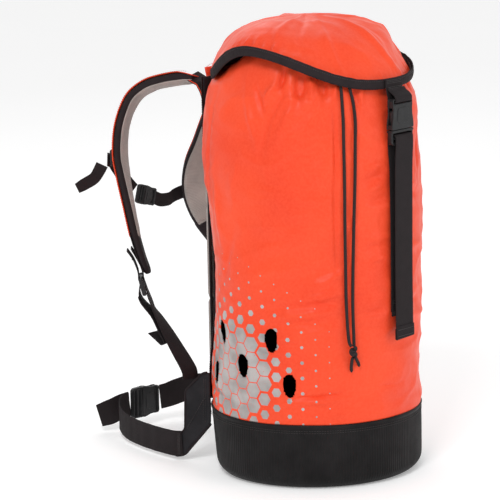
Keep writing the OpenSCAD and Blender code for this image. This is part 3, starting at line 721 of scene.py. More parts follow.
def egg_distance(t, v):
    """1 on the outline of a drain hole, less inside it; t is across and v is up from its middle."""
    s = v / (DRAIN_H / 2)
    wide = DRAIN_W / 2 * (1 + 0.18 * np.clip(s, -1.2, 1.2))
    return np.sqrt((t / wide) ** 2 + s ** 2)


def fitted_to_drains(angle, z):
    """Moves the grid's points that are next to a hole onto its outline, and says which points are
    inside a hole and which are on an outline."""
    inside = np.zeros(z.shape, bool)
    rim = np.zeros(z.shape, bool)
    for side in DRAIN_SIDES:
        for turn, height in DRAINS:
            gap = np.radians((angle - side - turn + 180) % 360 - 180)
            near = (np.abs(gap) < 0.25) & (np.abs(z - height) < 30)
            t, v = WALL_R * np.sin(gap), z - height
            f = egg_distance(t, v)
            on = near & (np.abs(f - 1) < 0.09)
            within = near & (f < 1) & ~on
            out = ~(within | on)
            touch = np.zeros_like(on)
            for axis in (0, 1):
                for step in (-1, 1):
                    touch |= np.roll(out, step, axis)
            on |= within & touch
            within &= ~touch
            factor = np.ones_like(f)
            for _ in range(5):
                factor = factor / np.maximum(egg_distance(t * factor, v * factor), 1e-6)
            angle = np.where(on, side + turn + np.degrees(np.arcsin(np.clip(t * factor / WALL_R, -1, 1))),
                             angle)
            z = np.where(on, height + v * factor, z)
            inside |= within
            rim |= on
    return angle, z, inside, rim


def arc(angle):
    """Distance round the wall from the front's direction, for an angle."""
    return (angle - FRONT) * math.pi / 180 * WALL_R


FOLD_HEIGHT = 2.6
# direction, height, half length, half width and slope of each fold, and its share of FOLD_HEIGHT
WALL_FOLDS = [
    (232.6, 470, 60, 3.2, 90, -1.7), (231.6, 380, 60, 3.4, 91, -1.5), (228.5, 300, 26, 6, 25, 1.6),
    (226, 276, 24, 5, 6, 1.7), (214, 262, 34, 5, 5, -1.4), (216, 250, 36, 5, 6, 1.5),
    (209, 236, 34, 5, 4, -1.3), (219, 224, 32, 5, 9, 1.3), (204, 214, 26, 5, 3, 1.1),
    (255, 452, 16, 6, 12, 1.5), (256, 436, 18, 5, 6, -1.5), (254, 421, 17, 5, 10, 1.5),
    (257, 404, 18, 5, 4, -1.3), (255, 352, 16, 5, 8, 1.2), (254, 338, 18, 5, 5, -1.2),
    (256, 322, 18, 5, 6, 1.2), (255, 266, 18, 6, 6, 1.3), (253, 246, 18, 5, 4, -1.2),
    (221, 133, 42, 3, 3, -1.4), (221, 126, 44, 4, 3, 0.9), (262, 140, 26, 3, -4, -1.0),
    (283, 420, 18, 6, -8, 1.4), (286, 400, 20, 5, -6, -1.3), (290, 330, 30, 6, -10, 1.4),
    (288, 250, 30, 5, -5, -1.4), (294, 230, 36, 6, -6, 1.4), (300, 470, 44, 5, 68, -1.5),
    (196, 556, 13, 5, 60, 2.2), (190, 545, 20, 4, 118, -1.6), (201, 540, 22, 4, 62, -1.5),
    (206, 520, 30, 6, 70, 1.4), (185, 520, 30, 5, 112, 1.3), (195, 500, 34, 6, 78, -1.2),
    (214, 568, 16, 7, 84, -7.0), (227, 570, 15, 6, 96, -7.0), (220.5, 562, 15, 4, 90, 2.4),
    (234, 558, 12, 3.5, 74, 1.8), (203, 574, 13, 4.5, 78, -4.0), (246, 548, 16, 4, 96, -2.0),
    (250, 556, 14, 4, 80, 1.2), (289, 552, 16, 4, 84, -2.2), (298, 564, 15, 6, 96, -5.0),
    (311, 566, 15, 7, 84, -6.0), (326, 570, 15, 6, 96, -6.0), (340, 578, 14, 5, 84, -4.0),
    (150, 470, 60, 6, 84, -1.4), (160, 380, 50, 8, 100, 1.3), (30, 470, 60, 6, 96, -1.4),
    (20, 380, 50, 8, 80, 1.3), (168, 320, 40, 7, 70, -1.2), (340, 320, 40, 7, 110, -1.2),
    (152, 118, 40, 4, 0, -1.0), (330, 260, 40, 6, 8, 1.3), (335, 130, 46, 4, -3, -1.2)]


def wall_offset(rows, angle, z, share):
    """How far the cloth stands out from its even shape. It is folded and creased all over, pleated
    where share is above 0, welted above the base, and flatter under the straps, the pad and the base."""
    places = [(arc(a), h, *rest) for a, h, *rest in WALL_FOLDS]
    cloth = FOLD_HEIGHT * folds(arc(angle), z, places, GIRTH)
    cloth += crumple(rows, [(78, 62, 3.2), (64, 38, 1.6), (26, 18, 0.9), (33, 22, 0.5)], 5.0)
    pleat = np.sin(np.radians(angle * 34) + 2.2 * np.sin(np.radians(angle * 5)))
    cloth += share ** 1.5 * 3.0 * (pleat - 0.5 * np.abs(pleat))
    cloth += 0.7 * np.exp(-((z - 106) / 5) ** 2)
    straps = np.exp(-((angle - 240) / 5) ** 2) + np.exp(-((angle - 270) / 9) ** 4)
    cloth = np.where(cloth > 0.5, cloth + (0.5 - cloth) * np.clip(straps, 0, 1), cloth)
    behind = np.clip((np.abs((angle - 90 + 180) % 360 - 180) - 20) / 14, 0, 1)
    base = np.clip((z - 93) / 10, 0, 1)
    return np.clip(cloth, -9, 4.2) * behind * base


def rear_flanks(angle, z):
    """What the tube's radius gains beside the back panel: it is drawn in there, and swells near the top."""
    lobe = np.exp(-((np.abs((angle - 90 + 180) % 360 - 180) - 42) / 23) ** 2)
    return lobe * np.interp(z, [0, 40, 92, 130, 165, 200, 230, 320, 400, 460, 500, 550],
                            [-8, -5, -2, -2, -5, -11, -14, -14, -6, 3, 3, 0])


def make_wall():
    profile = evenly(smooth_line(WALL, 10), 2.5)
    count = 400
    angle, z = np.meshgrid(np.arange(count) * 360 / count, profile[:, 1])
    r = np.repeat(profile[:, :1], count, 1)
    share = np.repeat(profile[:, 2:], count, 1)
    angle, z, inside, rim = fitted_to_drains(angle, z)
    rise = share * WALL_RISE * side_bump(angle)
    r = flattened(r + rear_flanks(angle, z), angle)
    turn = np.radians(angle)
    rows = np.stack([r * np.cos(turn), r * np.sin(turn), z + rise], axis=-1)
    along = np.clip((np.arange(len(profile)) / (len(profile) - 1) - 0.87) / 0.13, 0, 1)
    rows = displaced(rows, wall_offset(rows, angle, z + rise, along[:, None] * np.ones(count)))

    def keep(i, j, k):
        corners = [(i, j), (i, k), (i + 1, k), (i + 1, j)]
        if any(inside[c] for c in corners):
            return False
        return not all(rim[c] for c in corners)

    wall = grid_mesh("bag_wall", rows * MM, [TARP_PRINTED, LINING], keep=keep)
    thickened(wall, 1.5 * MM, inner=1)
    piece(wall, "bag", ("side_panel", "collar"))


# ---------------------------------------------------------------- base
BASE_H = 92
BASE_R = 150
CORNER_R = 19
RIBS = 224
RIB_H = 0.55


def make_base():
    corner = [(BASE_R - CORNER_R + CORNER_R * math.cos(math.radians(a)),
               CORNER_R + CORNER_R * math.sin(math.radians(a))) for a in range(-80, 1, 8)]
    wall = [(150.1, z) for z in np.linspace(CORNER_R + 4, 87, 17)]
    lip = [(150.9, 88.2), (151.6, 89.4), (151.8, 90.8), (151.2, 92.2), (149.8, 92.8), (147.6, 92.2)]
    profile = np.array([(129, 0.35)] + corner + wall + lip)
    count = RIBS * 5
    angle, z = np.meshgrid(np.arange(count) * 360 / count, profile[:, 1])
    r = flattened(np.repeat(profile[:, :1], count, 1) + rear_flanks(angle, z), angle)
    turn = np.radians(angle)
    rows = np.stack([r * np.cos(turn), r * np.sin(turn), z], axis=-1)
    rib = np.abs(np.sin(turn * RIBS / 2)) ** 0.8
    ribbed = np.clip((z - 5) / 8, 0, 1) * np.clip((88 - z) / 2, 0, 1)
    dents = np.array([[noise.noise(Vector(p) / 60) * 0.9 for p in row] for row in rows])
    rows = displaced(rows, rib * ribbed * RIB_H + dents * np.clip((z - 8) / 20, 0, 1))
    band = thickened(grid_mesh("base_wall", rows * MM, BASE), 2.0 * MM)
    back_outline = rounded([(-60, 8), (60, 8), (60, BASE_H), (-60, BASE_H)], 7)
    back = plate("base_back", [back_outline], 2.4, 0.9, BASE, Matrix.Translation((0, 139.6 * MM, 0)))
    piece(joined("base_wall", [band, back]), "bag", "base_band")
    rings = [(0.4, 3.0), (40, 3.0), (90, 3.0), (130, 3.0), (133.4, 2.4), (134, 1.5), (133.4, 0.5),
             (131, 0.0), (124, 0.0), (120, 0.45), (116, 0.0), (60, 0.0), (56, 0.45), (52, 0.0), (0.4, 0.0)]
    turns = np.radians(np.arange(0, 360, 3))
    rows = [[(r * math.cos(a), r * math.sin(a), z) for a in turns[::-1]] for r, z in rings]
    floor = grid_mesh("base_floor", mm(rows), BASE)
    piece(floor, "bag", "base_disc")
    lines = []
    for height in (84.5, 81.5):
        turns = np.radians(np.linspace(130, 410, 420))
        ring = np.stack([151 * np.cos(turns), 151 * np.sin(turns), np.full(420, height)], 1)
        lines.append((ring * MM, outward))
    seam("base_stitches", "bag", lines, slot="base_fabric_black", pitch=3.6, thick=0.5)


# ---------------------------------------------------------------- mouth
MOUTH_R = 71
MOUTH_Z = 591.5
CORDS_OUT = 240.5           # where the cords leave the hem, which isn't gathered there


def make_mouth():
    count = 360
    turn = np.radians(np.arange(count))
    pucker = 0.55 * np.sin(turn * 46 + 1.4 * np.sin(turn * 7)) + 0.25 * np.sin(turn * 91)
    near_cords = np.exp(-((np.degrees(turn) - CORDS_OUT) / 6) ** 4)
    radius = 6 + pucker * (1 - near_cords)
    rows = []
    for a in np.linspace(0, 2 * math.pi, 19):
        r = MOUTH_R + radius * math.cos(a)
        rows.append(np.stack([r * np.cos(turn), r * np.sin(turn), MOUTH_Z + radius * math.sin(a)], 1))
    hem = grid_mesh("mouth_hem_gathered", np.array(rows) * MM, CLOTH)
    piece(hem, "bag", "mouth_hem")
    line = np.stack([(MOUTH_R + 5.2) * np.cos(turn), (MOUTH_R + 5.2) * np.sin(turn),
                     np.full(count, MOUTH_Z - 4.2)], 1) * MM
    seam("mouth_stitches", "bag", [(line, outward)], pitch=3.2)


# ---------------------------------------------------------------- lid
LID_R = 146
LID_TOP = 649
LID_LEAN = 10               # how far back the top of the dome is
HEM_FRONT = 557
HEM_RISE = 46
HINGE_Z = 566
BINDING_A = 126             # the binding reaches this far round from the front
# share of the full radius, and share of the way from the hem to the top
DOME = [(1, 0), (0.985, 0.12), (0.945, 0.27), (0.884, 0.42), (0.805, 0.59), (0.675, 0.77), (0.48, 0.9),
        (0.27, 0.965), (0.1, 0.99), (0.003, 1)]


def hem_z(angle):
    """Height of the lid's hem: low in front, drawn up at the sides, and level with the hinge behind."""
    b = np.radians(away_from_front(angle))
    return HEM_FRONT + HEM_RISE * side_bump(angle) + (HINGE_Z + 1 - HEM_FRONT) * (1 - np.cos(b)) / 2


def lid_girth(angle, up):
    """What the lid's radius gains: it is full over the front right and slack over the back left."""
    full = np.exp(-(((angle - 324 + 180) % 360 - 180) / 46) ** 2)
    slack = np.exp(-(((angle - 138 + 180) % 360 - 180) / 40) ** 2)
    return (full * np.interp(up, [0, 0.3, 0.45, 0.55, 0.65, 0.75, 0.85, 0.92, 0.97, 1],
                             [-3, -2, 1, 5, 9, 13, 17, 23, 18, 0])
            - slack * np.interp(up, [0, 0.3, 0.6, 0.9, 1], [5, 6, 5, 4, 0]))


def lid_gathers():
    """Small pleats that fan up from the binding where the hem is raised, and fainter ones in front."""
    pleats = []
    for flank in (1, -1):
        for k in range(20):
            turn = -60 + 3.05 * k + random.uniform(-0.6, 0.6)
            a = FRONT + flank * turn - flank * 50
            lean = 90 + flank * (turn + 34) * -1.1
            strong = 1.0 - abs(turn + 36) / 60
            pleats.append((arc(a), random.uniform(10, 17), random.uniform(11, 19), random.uniform(1.7, 2.6),
                           lean, random.uniform(1.0, 2.0) * strong * (1 if k % 2 else -0.8)))
    for k in range(16):
        a = FRONT - 48 + 6.2 * k
        pleats.append((arc(a), 14, 9, 2.2, 90, random.uniform(-0.6, 0.6)))
    return pleats


def make_lid():
    profile = smooth_line([(*d, 0) for d in DOME], 6)[:, :2]
    count = 400
    angle = np.arange(count) * 360 / count
    turn = np.radians(angle)
    rows = []
    for share, up in profile:
        z = hem_z(angle) + (LID_TOP - hem_z(angle)) * up
        r = LID_R * share + lid_girth(angle, up)
        rows.append(np.stack([r * np.cos(turn), r * np.sin(turn) + LID_LEAN * up * (2 - up), z], 1))
    rows = np.array(rows)
    along = np.concatenate([np.zeros((1, count)), np.cumsum(np.linalg.norm(np.diff(rows, axis=0), axis=2),
                                                            axis=0)])
    way = along / along[-1]
    a2 = np.repeat(angle[None], len(rows), 0)
    offset = 2.8 * folds(arc(a2), along, lid_gathers(), GIRTH)
    offset += crumple(rows, [(70, 50, 3.0), (62, 50, 1.6), (24, 18, 0.8), (30, 24, 0.5)], 11.0)
    # a ridge runs up from the front, and the lid is hollow on its right
    ridge = 274 + 8 * (1 - way)
    fade = np.sin(math.pi * np.clip(way, 0, 1)) ** 0.7
    narrow = np.radians(a2 - ridge) * LID_R * (1 - way * 0.9)
    offset += 3.6 * np.exp(-(narrow / 6) ** 2) * fade
    beyond = np.clip((a2 - ridge) / 14, 0, 1) * np.clip((352 - a2) / 40, 0, 1)
    offset -= 3.6 * beyond * fade
    # slacker ridges and hollows run down the other sides
    for line, depth in ((243, 1.0), (222, -0.9), (205, 0.9), (120, -1.0), (70, 0.9), (330, 1.0)):
        cut = np.radians((a2 - line + 180) % 360 - 180 + 6 * np.sin(way * 4)) * LID_R * (1 - way * 0.9)
        offset += 2.4 * depth * np.exp(-(cut / 5) ** 2) * fade
    hem = np.clip(along / 8, 0, 1)
    settle = np.clip((1 - way) / 0.06, 0, 1)
    offset -= 1.5 * np.sin(math.pi * np.clip(way, 0, 1)) ** 0.6
    rows = displaced(rows, np.clip(offset, -9, 3.4) * (0.25 + 0.75 * hem) * settle)
    shell = grid_mesh("lid_dome", rows * MM, [TARP, LINING])
    thickened(shell, 1.5 * MM, inner=1)
    piece(shell, "lid", "lid_shell")


def make_binding():
    angle = np.linspace(FRONT - BINDING_A, FRONT + BINDING_A, 420)
    turn = np.radians(angle)
    r = LID_R + lid_girth(angle, 0.0)
    line = np.stack([r * np.cos(turn), r * np.sin(turn), hem_z(angle)], 1)
    section = np.array([(12, -1.7), (12.3, -1.0), (12, -0.2), (6, -0.25), (0.2, -0.2), (-0.1, 0.8),
                        (0.2, 1.8), (5, 1.9), (10, 1.9), (10.3, 2.4), (10, 3.0), (5, 3.05), (0.5, 3.0),
                        (-1.3, 2.3), (-1.9, 0.8), (-1.3, -0.9), (0.5, -1.7), (3.2, -2.2), (6, -2.3),
                        (9, -2.1)]) * MM
    rows = [1 + 0.05 * noise.noise(Vector((a * 0.21, 3, 1))) for a in angle]
    rolls = [1 + 0.16 * noise.noise(Vector((a * 0.5, 9, 4))) for a in angle]
    tape = sweep("lid_binding_tape", line * MM, (0, 0, 1), section, BINDING,
                 scale=np.stack([rows, rolls], 1))
    piece(tape, "lid", "lid_binding")
    lift = np.stack([(r + 2.1) * np.cos(turn), (r + 2.1) * np.sin(turn), hem_z(angle) + 9.6], 1)
    seam("binding_stitches", "lid", [(lift * MM, outward)], pitch=3.3, thick=0.45)
    rear = np.radians(np.linspace(FRONT + BINDING_A - 1, FRONT + 361 - BINDING_A, 160))
    for height in (3.0, 9.0):
        hem = np.stack([(LID_R + 0.3) * np.cos(rear), (LID_R + 0.3) * np.sin(rear),
                        hem_z(np.degrees(rear)) + height], 1)
        seam(f"lid_rear_stitches_{int(height)}", "lid", [(hem * MM, outward)], slot="tarpaulin_orange",
             material=THREAD_RED)


def make_hinge():
    """The strip of tarpaulin that the lid turns on, made in one curved shape between the bag and the lid.
    """
    heights = np.linspace(530, 570, 13)
    across = np.linspace(-58, 58, 47)
    rows = []
    for z in heights:
        y = np.interp(z, [530, 548, 557, 562.5, 570], [142.2, 142.4, 143.6, 145.6, 147.3])
        rows.append([(x, y - (x / 58) ** 2 * 1.0 * np.clip((z - 552) / 18, 0, 1)
                      + 0.4 * noise.noise(Vector((x / 14, z / 9, 2))), z) for x in across[::-1]])
    strip = grid_mesh("lid_hinge_web", mm(rows), TARP, wrap=False)
    thickened(strip, 1.2 * MM, offset=0)
    lines = [(mm([(x, y, z) for x in across]), (0, 1, 0)) for y, z in ((143.2, 534), (143.3, 538))]
    seam("hinge_stitches", "bag", lines, slot="tarpaulin_orange", material=THREAD_RED)
    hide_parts("hinge_strip")
    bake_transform(strip)


# ---------------------------------------------------------------- side release buckles
def mirrored(right):
    """A whole outline from its right half, given from the bottom up."""
    return right + [(-x, z) for x, z in reversed(right)]


def box_outline(x0, x1, z0, z1, r):
    return rounded([(x0, z0), (x1, z0), (x1, z1), (x0, z1)], r, 3)


# webbing width, socket length, plug base length and thickness, as in the CAD
LID_BUCKLE = (38, 43, 21, 11)
HIP_BUCKLE = (38, 34, 18, 10)
CHEST_BUCKLE = (20, 24, 13, 8)
BUCKLE_EDGES = 9            # a buckle is this much wider than its webbing
LID_PLACE = Matrix.Translation((0, -0.160, 0.500))
HIP_PLACE = (Matrix.Translation((0.006, 0.350, 0.040)) @ Matrix.Rotation(math.radians(-4), 4, "Z")
             @ Matrix.Rotation(math.radians(90), 4, "Y"))
CHEST_PLACE = Matrix.Translation((-0.020, 0.309, 0.365)) @ Matrix.Rotation(math.radians(107), 4, "Y")


def buckle_scale(web, length):
    """Factors that fit the outlines below, which are the lid buckle's, to another one."""
    return (web + BUCKLE_EDGES) / (LID_BUCKLE[0] + BUCKLE_EDGES), length / LID_BUCKLE[1]


def buckle_socket(name, place, size):
    """Two plates with the slot for the webbing, a solid head between them, and a cheek at each corner."""
    web, length, _, thick = size
    k, l = buckle_scale(web, length)
    right = [(22.6, 0), (23.5, 2.4), (23.4, 7), (22.5, 13), (21.1, 19), (20.7, 27), (21.3, 33),
             (21.2, 39.5), (18.4, 43)]
    outline = mirrored([(x * k, z * l) for x, z in right])
    slot = box_outline(-web / 2 - 0.4, web / 2 + 0.4, length - 7, length - 3.4, 1.2)
    skin = 2.5
    at = (thick - skin) / 2 * MM
    parts = [plate("front", [outline, slot], skin, 0.8, PLASTIC, place @ Matrix.Translation((0, -at, 0))),
             plate("back", [outline, slot], skin, 0.8, PLASTIC, place @ Matrix.Translation((0, at, 0)))]
    top = mirrored([(20.2 * k, 30 * l), (20.6 * k, 39.5 * l), (18 * k, 42.4 * l)])
    parts.append(plate("head", [top, slot], thick - 4, 0.4, PLASTIC, place))
    for s in (-1, 1):
        cheek = box_outline(min(s * 20.7, s * 23.1) * k, max(s * 20.7, s * 23.1) * k, 0.4, 7 * l, 0.7)
        parts.append(plate("cheek", [cheek], thick - 4, 0.3, PLASTIC, place))
    panel = mirrored([(9.5 * k, 8 * l), (12.5 * k, 11 * l), (11.5 * k, 27 * l), (8.5 * k, 30 * l)])
    step = (thick / 2 + 0.1) * MM
    parts.append(plate("panel", [rounded(panel, 2, 3)], 0.9, 0.35, PLASTIC,
                       place @ Matrix.Translation((0, -step, 0))))
    parts.append(plate("rib", [box_outline(-17 * k, 17 * k, length - 9.2, length - 8.0, 0.5)], 0.9, 0.3,
                       PLASTIC, place @ Matrix.Translation((0, -step, 0))))
    return joined(name, parts)


def buckle_plug(name, place, size):
    """A base with two slots for the webbing, a guide in the middle and two springy prongs."""
    web, length, base, thick = size
    k, l = buckle_scale(web, length)
    low = -base - 0.4
    bar, slot = 0.17 * base, 0.2 * base
    half = web / 2 + 0.9
    right = [(20.5 * k, low), (23.3 * k, low + 4), (23.5 * k, -4), (23.0 * k, -0.5)]
    body = rounded(mirrored(right), 3.2, 4)
    holes = [box_outline(-half, half, z, z + slot, 1.0) for z in (bar - base, 2 * bar + slot - base)]
    parts = [plate("base", [body] + holes, thick * 0.78, 1.6, PLASTIC, place)]
    shelf = box_outline(-23.4 * k, 23.4 * k, -4.6 * base / 21, -0.5, 1.6)
    parts.append(plate("shelf", [shelf], thick, 1.2, PLASTIC, place))
    for z in (low + bar * 0.55, 2 * bar + slot - base - bar * 0.5):
        a, b = place @ Vector((-half * MM, 0, z * MM)), place @ Vector((half * MM, 0, z * MM))
        parts.append(rod("bar", a, b, min(bar * 1.05, thick * 0.8) * MM, PLASTIC))
    arm = thick - 6
    guide = mirrored([(2.4, -1), (2.4, length * 0.5), (1.2, length * 0.6)])
    parts.append(plate("guide", [guide], arm, 0.5, PLASTIC, place))
    for s in (-1, 1):
        prong = [(14, -1), (19.8, -1), (19.2, 8), (20.3, 13), (20.3, 24), (18.2, 26.4), (15.6, 26.4),
                 (16.6, 18), (15.2, 8)]
        shape = rounded([(s * x * k, z * l) for x, z in prong][::s], 1.0, 3)
        parts.append(plate("prong", [shape], arm, 0.8, PLASTIC, place))
    return joined(name, parts)


def make_buckles():
    for name, place, size, socket_body, plug_body in (
            ("lid", LID_PLACE, LID_BUCKLE, "lid", "lid_plug"),
            ("hip", HIP_PLACE, HIP_BUCKLE, "bag", "hip_plug"),
            ("chest", CHEST_PLACE, CHEST_BUCKLE, "chest_right", "chest_plug")):
        piece(buckle_socket(f"{name}_buckle_socket", place, size), socket_body,
              f"{name}_socket")
        piece(buckle_plug(f"{name}_buckle_plug", place, size), plug_body, f"{name}_plug")


# ---------------------------------------------------------------- webbing
WEB_W = 38
WEB_T = 1.6
UP = (0, 0, 1)
ACROSS = (1, 0, 0)


def band(name, points, side, width, thickness=WEB_T, bends=3, taper=None, step=2.5, material=None,
         wave=0.0):
    """Webbing along a line, with its edges a little uneven. side can be a function of the number of
    points, taper holds (share of the length, share of the width), and wave is how far it sways."""
    line = evenly(smooth_line(mm(points), bends), step * MM)
    n = len(line)
    if callable(side):
        side = side(n)
    scale = np.ones((n, 2))
    for i in range(n):
        scale[i, 0] = 1 + 0.012 * noise.noise(Vector((i * 0.35, n, 2)))
        if taper:
            scale[i, 0] *= np.interp(i / (n - 1), *zip(*taper))
    if wave:
        up = line_frames(line, side)[2]
        sway = [wave * MM * noise.noise(Vector((i * 0.16, 5, n))) for i in range(n)]
        ease = np.sin(np.linspace(0, math.pi, n)) ** 0.5
        line = line + up * (np.array(sway) * ease)[:, None]
    return sweep(name, line, side, strap_section(width * MM, thickness * MM), material or WEB, scale=scale)


def tack(name, body, middle, across, along, out, width, rows=3, gap=2.0):
    """A bar tack: a few close rows of zigzag thread across a strap."""
    middle = np.array(middle, float)
    across = unit(np.array(across, float))
    along = unit(np.array(along, float))
    lines = []
    for k in range(rows):
        at = middle + along * gap * (k - (rows - 1) / 2)
        lines.append((np.array([at - across * width / 2, at, at + across * width / 2]) * MM, out))
    return seam(name, body, lines, pitch=2.2, length=2.0, thick=0.7)


LID_TAB = [(0, -149.4, 569), (0, -149.8, 560), (0, -151.4, 551), (0, -153, 545), (0, -153.3, 540.2),
           (0, -153.9, 538.4), (0, -155.7, 537.8), (0, -160, 537.8), (0, -164.3, 537.8),
           (0, -166.2, 538.5), (0, -166.9, 540.4), (0, -166.6, 544.6), (0, -162.5, 549),
           (0, -156.5, 552.6), (0, -154, 556)]
LID_STRAP = [(0, -159.6, 492.4), (0, -156, 492.3), (0, -153.5, 491.2), (0, -153.1, 486), (0, -153.1, 478),
             (0, -153.8, 468), (0, -155.5, 445), (0, -156, 380), (0, -155.8, 300), (0, -155.2, 244)]
LID_TAIL = [(0, -160.6, 492.4), (0, -164.2, 492.3), (0, -166.7, 491.2), (0, -167.2, 486),
            (0, -167.2, 476), (0, -166.4, 464), (0, -165.4, 440), (0, -164.6, 380), (0, -163.6, 300),
            (0, -163.6, 221)]


def make_lid_straps():
    tab = band("lid_tab_webbing", LID_TAB, ACROSS, WEB_W - 2, bends=4, step=1.2)
    piece(tab, "lid", "lid_tab")
    tack("lid_tab_tack", "lid", (0, -155.0, 555.5), ACROSS, (0, 0.45, 0.9), (0, -0.9, 0.4), 32, rows=4)
    tack("lid_tab_tack_top", "lid", (0, -150.6, 565), ACROSS, UP, (0, -1, 0.05), 32, rows=3)
    strap = band("lid_strap_webbing", LID_STRAP, ACROSS, WEB_W, step=2.0)
    piece(strap, "bag", "lid_strap")
    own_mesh(strap)
    run = band("lid_tail_webbing", LID_TAIL, ACROSS, WEB_W, step=2.0)
    fold = [(0, -164.6, 224), (0, -165.0, 214), (0, -164.8, 207.6), (0, -163.8, 206.4), (0, -162.8, 207.6),
            (0, -162.8, 214), (0, -163.0, 221)]
    turned = band("fold", fold, (1, 0, 0.035), WEB_W + 1.2, 1.5, step=1.2)
    piece(joined("lid_tail_webbing", [run, turned]), "lid_plug", "lid_strap_tail")
    tack("lid_tail_tack", "lid_plug", (0, -165.9, 214.5), ACROSS, UP, (0, -1, 0), 33, rows=2, gap=9)
    patch = plate("strap_patch", [box_outline(-20, 20, 238, 262, 1.5)], 1.6, 0.5, WEB,
                  Matrix.Translation((0, -157.2 * MM, 0)))
    piece(patch, "bag", "strap_anchor")
    tack("patch_tack_low", "bag", (0, -158.2, 242), ACROSS, UP, (0, -1, 0), 35, rows=3)
    tack("patch_tack_high", "bag", (0, -158.2, 258), ACROSS, UP, (0, -1, 0), 35, rows=3)


make_wall()
make_base()
make_mouth()
make_lid()
make_binding()
make_hinge()
make_buckles()
make_lid_straps()


# ---------------------------------------------------------------- back panel and its pad
PANEL_HALF = 70
PANEL_EDGE = 69             # the middle of the tape on each edge
PANEL_BOTTOM = 92.6
PANEL_TOP = 558
PAD_HALF = 62
PAD_BOTTOM = 110
PAD_TOP = 495


def panel_y(x, z):
    """Where the back panel lies: its edges are drawn in with the tube beside them."""
    drawn_in = np.interp(z, [92, 130, 165, 200, 230, 320, 400, 460], [2, 2, 6, 12, 15, 15, 7, 0])
    return 140.6 - drawn_in * min(1.0, abs(x) / PANEL_EDGE) ** 4


def make_back_panel():
    heights = np.arange(PANEL_BOTTOM, PANEL_TOP + 1, 5)
    across = np.linspace(PANEL_HALF, -PANEL_HALF, 57)
    rows = [[(x, panel_y(x, z) - 0.2 + 0.5 * noise.noise(Vector((x / 24, z / 40, 1))), z) for x in across]
            for z in heights]
    sheet = grid_mesh("back_panel_cloth", mm(rows), CLOTH, wrap=False)
    thickened(sheet, 1.8 * MM, offset=-1)
    tape_z = np.linspace(PANEL_BOTTOM + 1, PANEL_TOP, 24)
    tapes = [band("edge", [(s * PANEL_EDGE, panel_y(PANEL_EDGE, z), z) for z in tape_z],
                  (1, -0.35 * s, 0), 11, 1.2, material=BINDING) for s in (-1, 1)]
    piece(joined("back_panel_cloth", [sheet] + tapes), "bag", "back_panel")
    seam_z = np.linspace(PANEL_BOTTOM + 3, PANEL_TOP - 4, 60)
    lines = [(mm([(s * x, panel_y(x, z) + 1, z) for z in seam_z]), (0, 1, 0))
             for s in (-1, 1) for x in (65.5, 72.0)]
    lines.append((mm([(x, 141.6, PANEL_TOP - 6) for x in np.linspace(-62, 62, 30)]), (0, 1, 0)))
    seam("back_panel_stitches", "bag", lines)


def make_back_pad():
    """A foam pad under mesh, quilted into nine cushions by two upright and two level seams."""
    heights = np.linspace(PAD_BOTTOM, PAD_TOP, 130)
    across = np.linspace(PAD_HALF, -PAD_HALF, 63)
    rows = []
    for z in heights:
        end = min(z - PAD_BOTTOM, PAD_TOP - z)
        row = []
        for x in across:
            edge = min(1.0, (PAD_HALF - abs(x)) / 11, end / 11)
            soft = math.sqrt(max(0.0, 1 - (1 - max(edge, 0)) ** 2))
            corner = max(0.0, (abs(x) - PAD_HALF + 14) / 14) * max(0.0, (14 - end) / 14)
            channel = sum(math.exp(-((x - c) / 3.4) ** 2) for c in (-21, 21))
            cross = sum(math.exp(-((z - c) / 3.4) ** 2) for c in (235, 370))
            puff = 11.4 * soft * (1 - 0.55 * min(1.0, channel + 0.8 * cross)) * (1 - 0.9 * corner)
            row.append((x, 141.6 + puff + 0.3 * noise.noise(Vector((x / 14, z / 14, 4))), z))
        rows.append(row)
    rows = np.array(rows)
    foam = grid_mesh("back_pad_mesh", rows * MM, MESH, wrap=False)
    map_vertices(foam, lambda number, v: (v.x, v.z))
    thickened(foam, 0.9 * MM)
    outline = rounded([(PAD_HALF - 1, PAD_BOTTOM + 1), (PAD_HALF - 1, PAD_TOP - 1),
                       (1 - PAD_HALF, PAD_TOP - 1), (1 - PAD_HALF, PAD_BOTTOM + 1)], 12, 6)
    edge = [(x, 142.6, z) for x, z in outline + outline[:1]]
    piping = sweep("edge", evenly(mm(edge), 3 * MM), (0, 1, 0), round_section(3.2 * MM, 10), BINDING)
    pad = piece(joined("back_pad_mesh", [foam, piping]), "bag", "back_pad")


# ---------------------------------------------------------------- shoulder straps
PAD_W = 50
PAD_T = 11
COVER_LIFT = 7.4
COVER_SHARE = {-1: 0.85, 1: 0.8}    # how far down the left and the right pad the cover and mesh reach
STRAP_TURN = 30             # how far the straps turn inwards at the chest, in plan
FOOT_TURN = 42              # and at their feet
LEFT_PAD = [(-56, 163, 551), (-60, 182, 551.5), (-67, 209, 547), (-74, 239, 538), (-79, 267, 518),
            (-82, 286, 482), (-83, 292, 441), (-83, 287.5, 405), (-83, 279, 365), (-84, 268, 325),
            (-86, 252, 288), (-87, 239, 266)]
RIGHT_PAD = [(56, 163, 549), (62, 182, 544), (70, 206, 528), (77, 229, 502), (81, 250, 470),
             (83, 269, 434), (83, 287.5, 398), (83, 292, 362), (83, 280, 332), (84, 256, 304),
             (86, 234, 278), (87, 223, 260)]
LEFT_TAB = [(-48, 143.5, 500), (-48, 144.5, 520), (-50, 148, 536), (-52.5, 154, 546.4),
            (-54.6, 161, 550.4)]
SIDE_NAMES = {-1: "left", 1: "right"}


def pad_side(n, s):
    """The way across a pad at each of n points: it turns inwards to the chest, and more at the foot."""
    u = np.linspace(0, 1, n)
    low = np.clip((u - 0.55) / 0.3, 0, 1)
    yaw = np.radians(STRAP_TURN * np.sin(math.pi / 2 * np.minimum(1, u / 0.4))
                     + (FOOT_TURN - STRAP_TURN) * np.sin(math.pi / 2 * low))
    return unit(np.stack([s * np.cos(yaw), -np.sin(yaw), 0.3 * (1 - u) ** 2], 1))


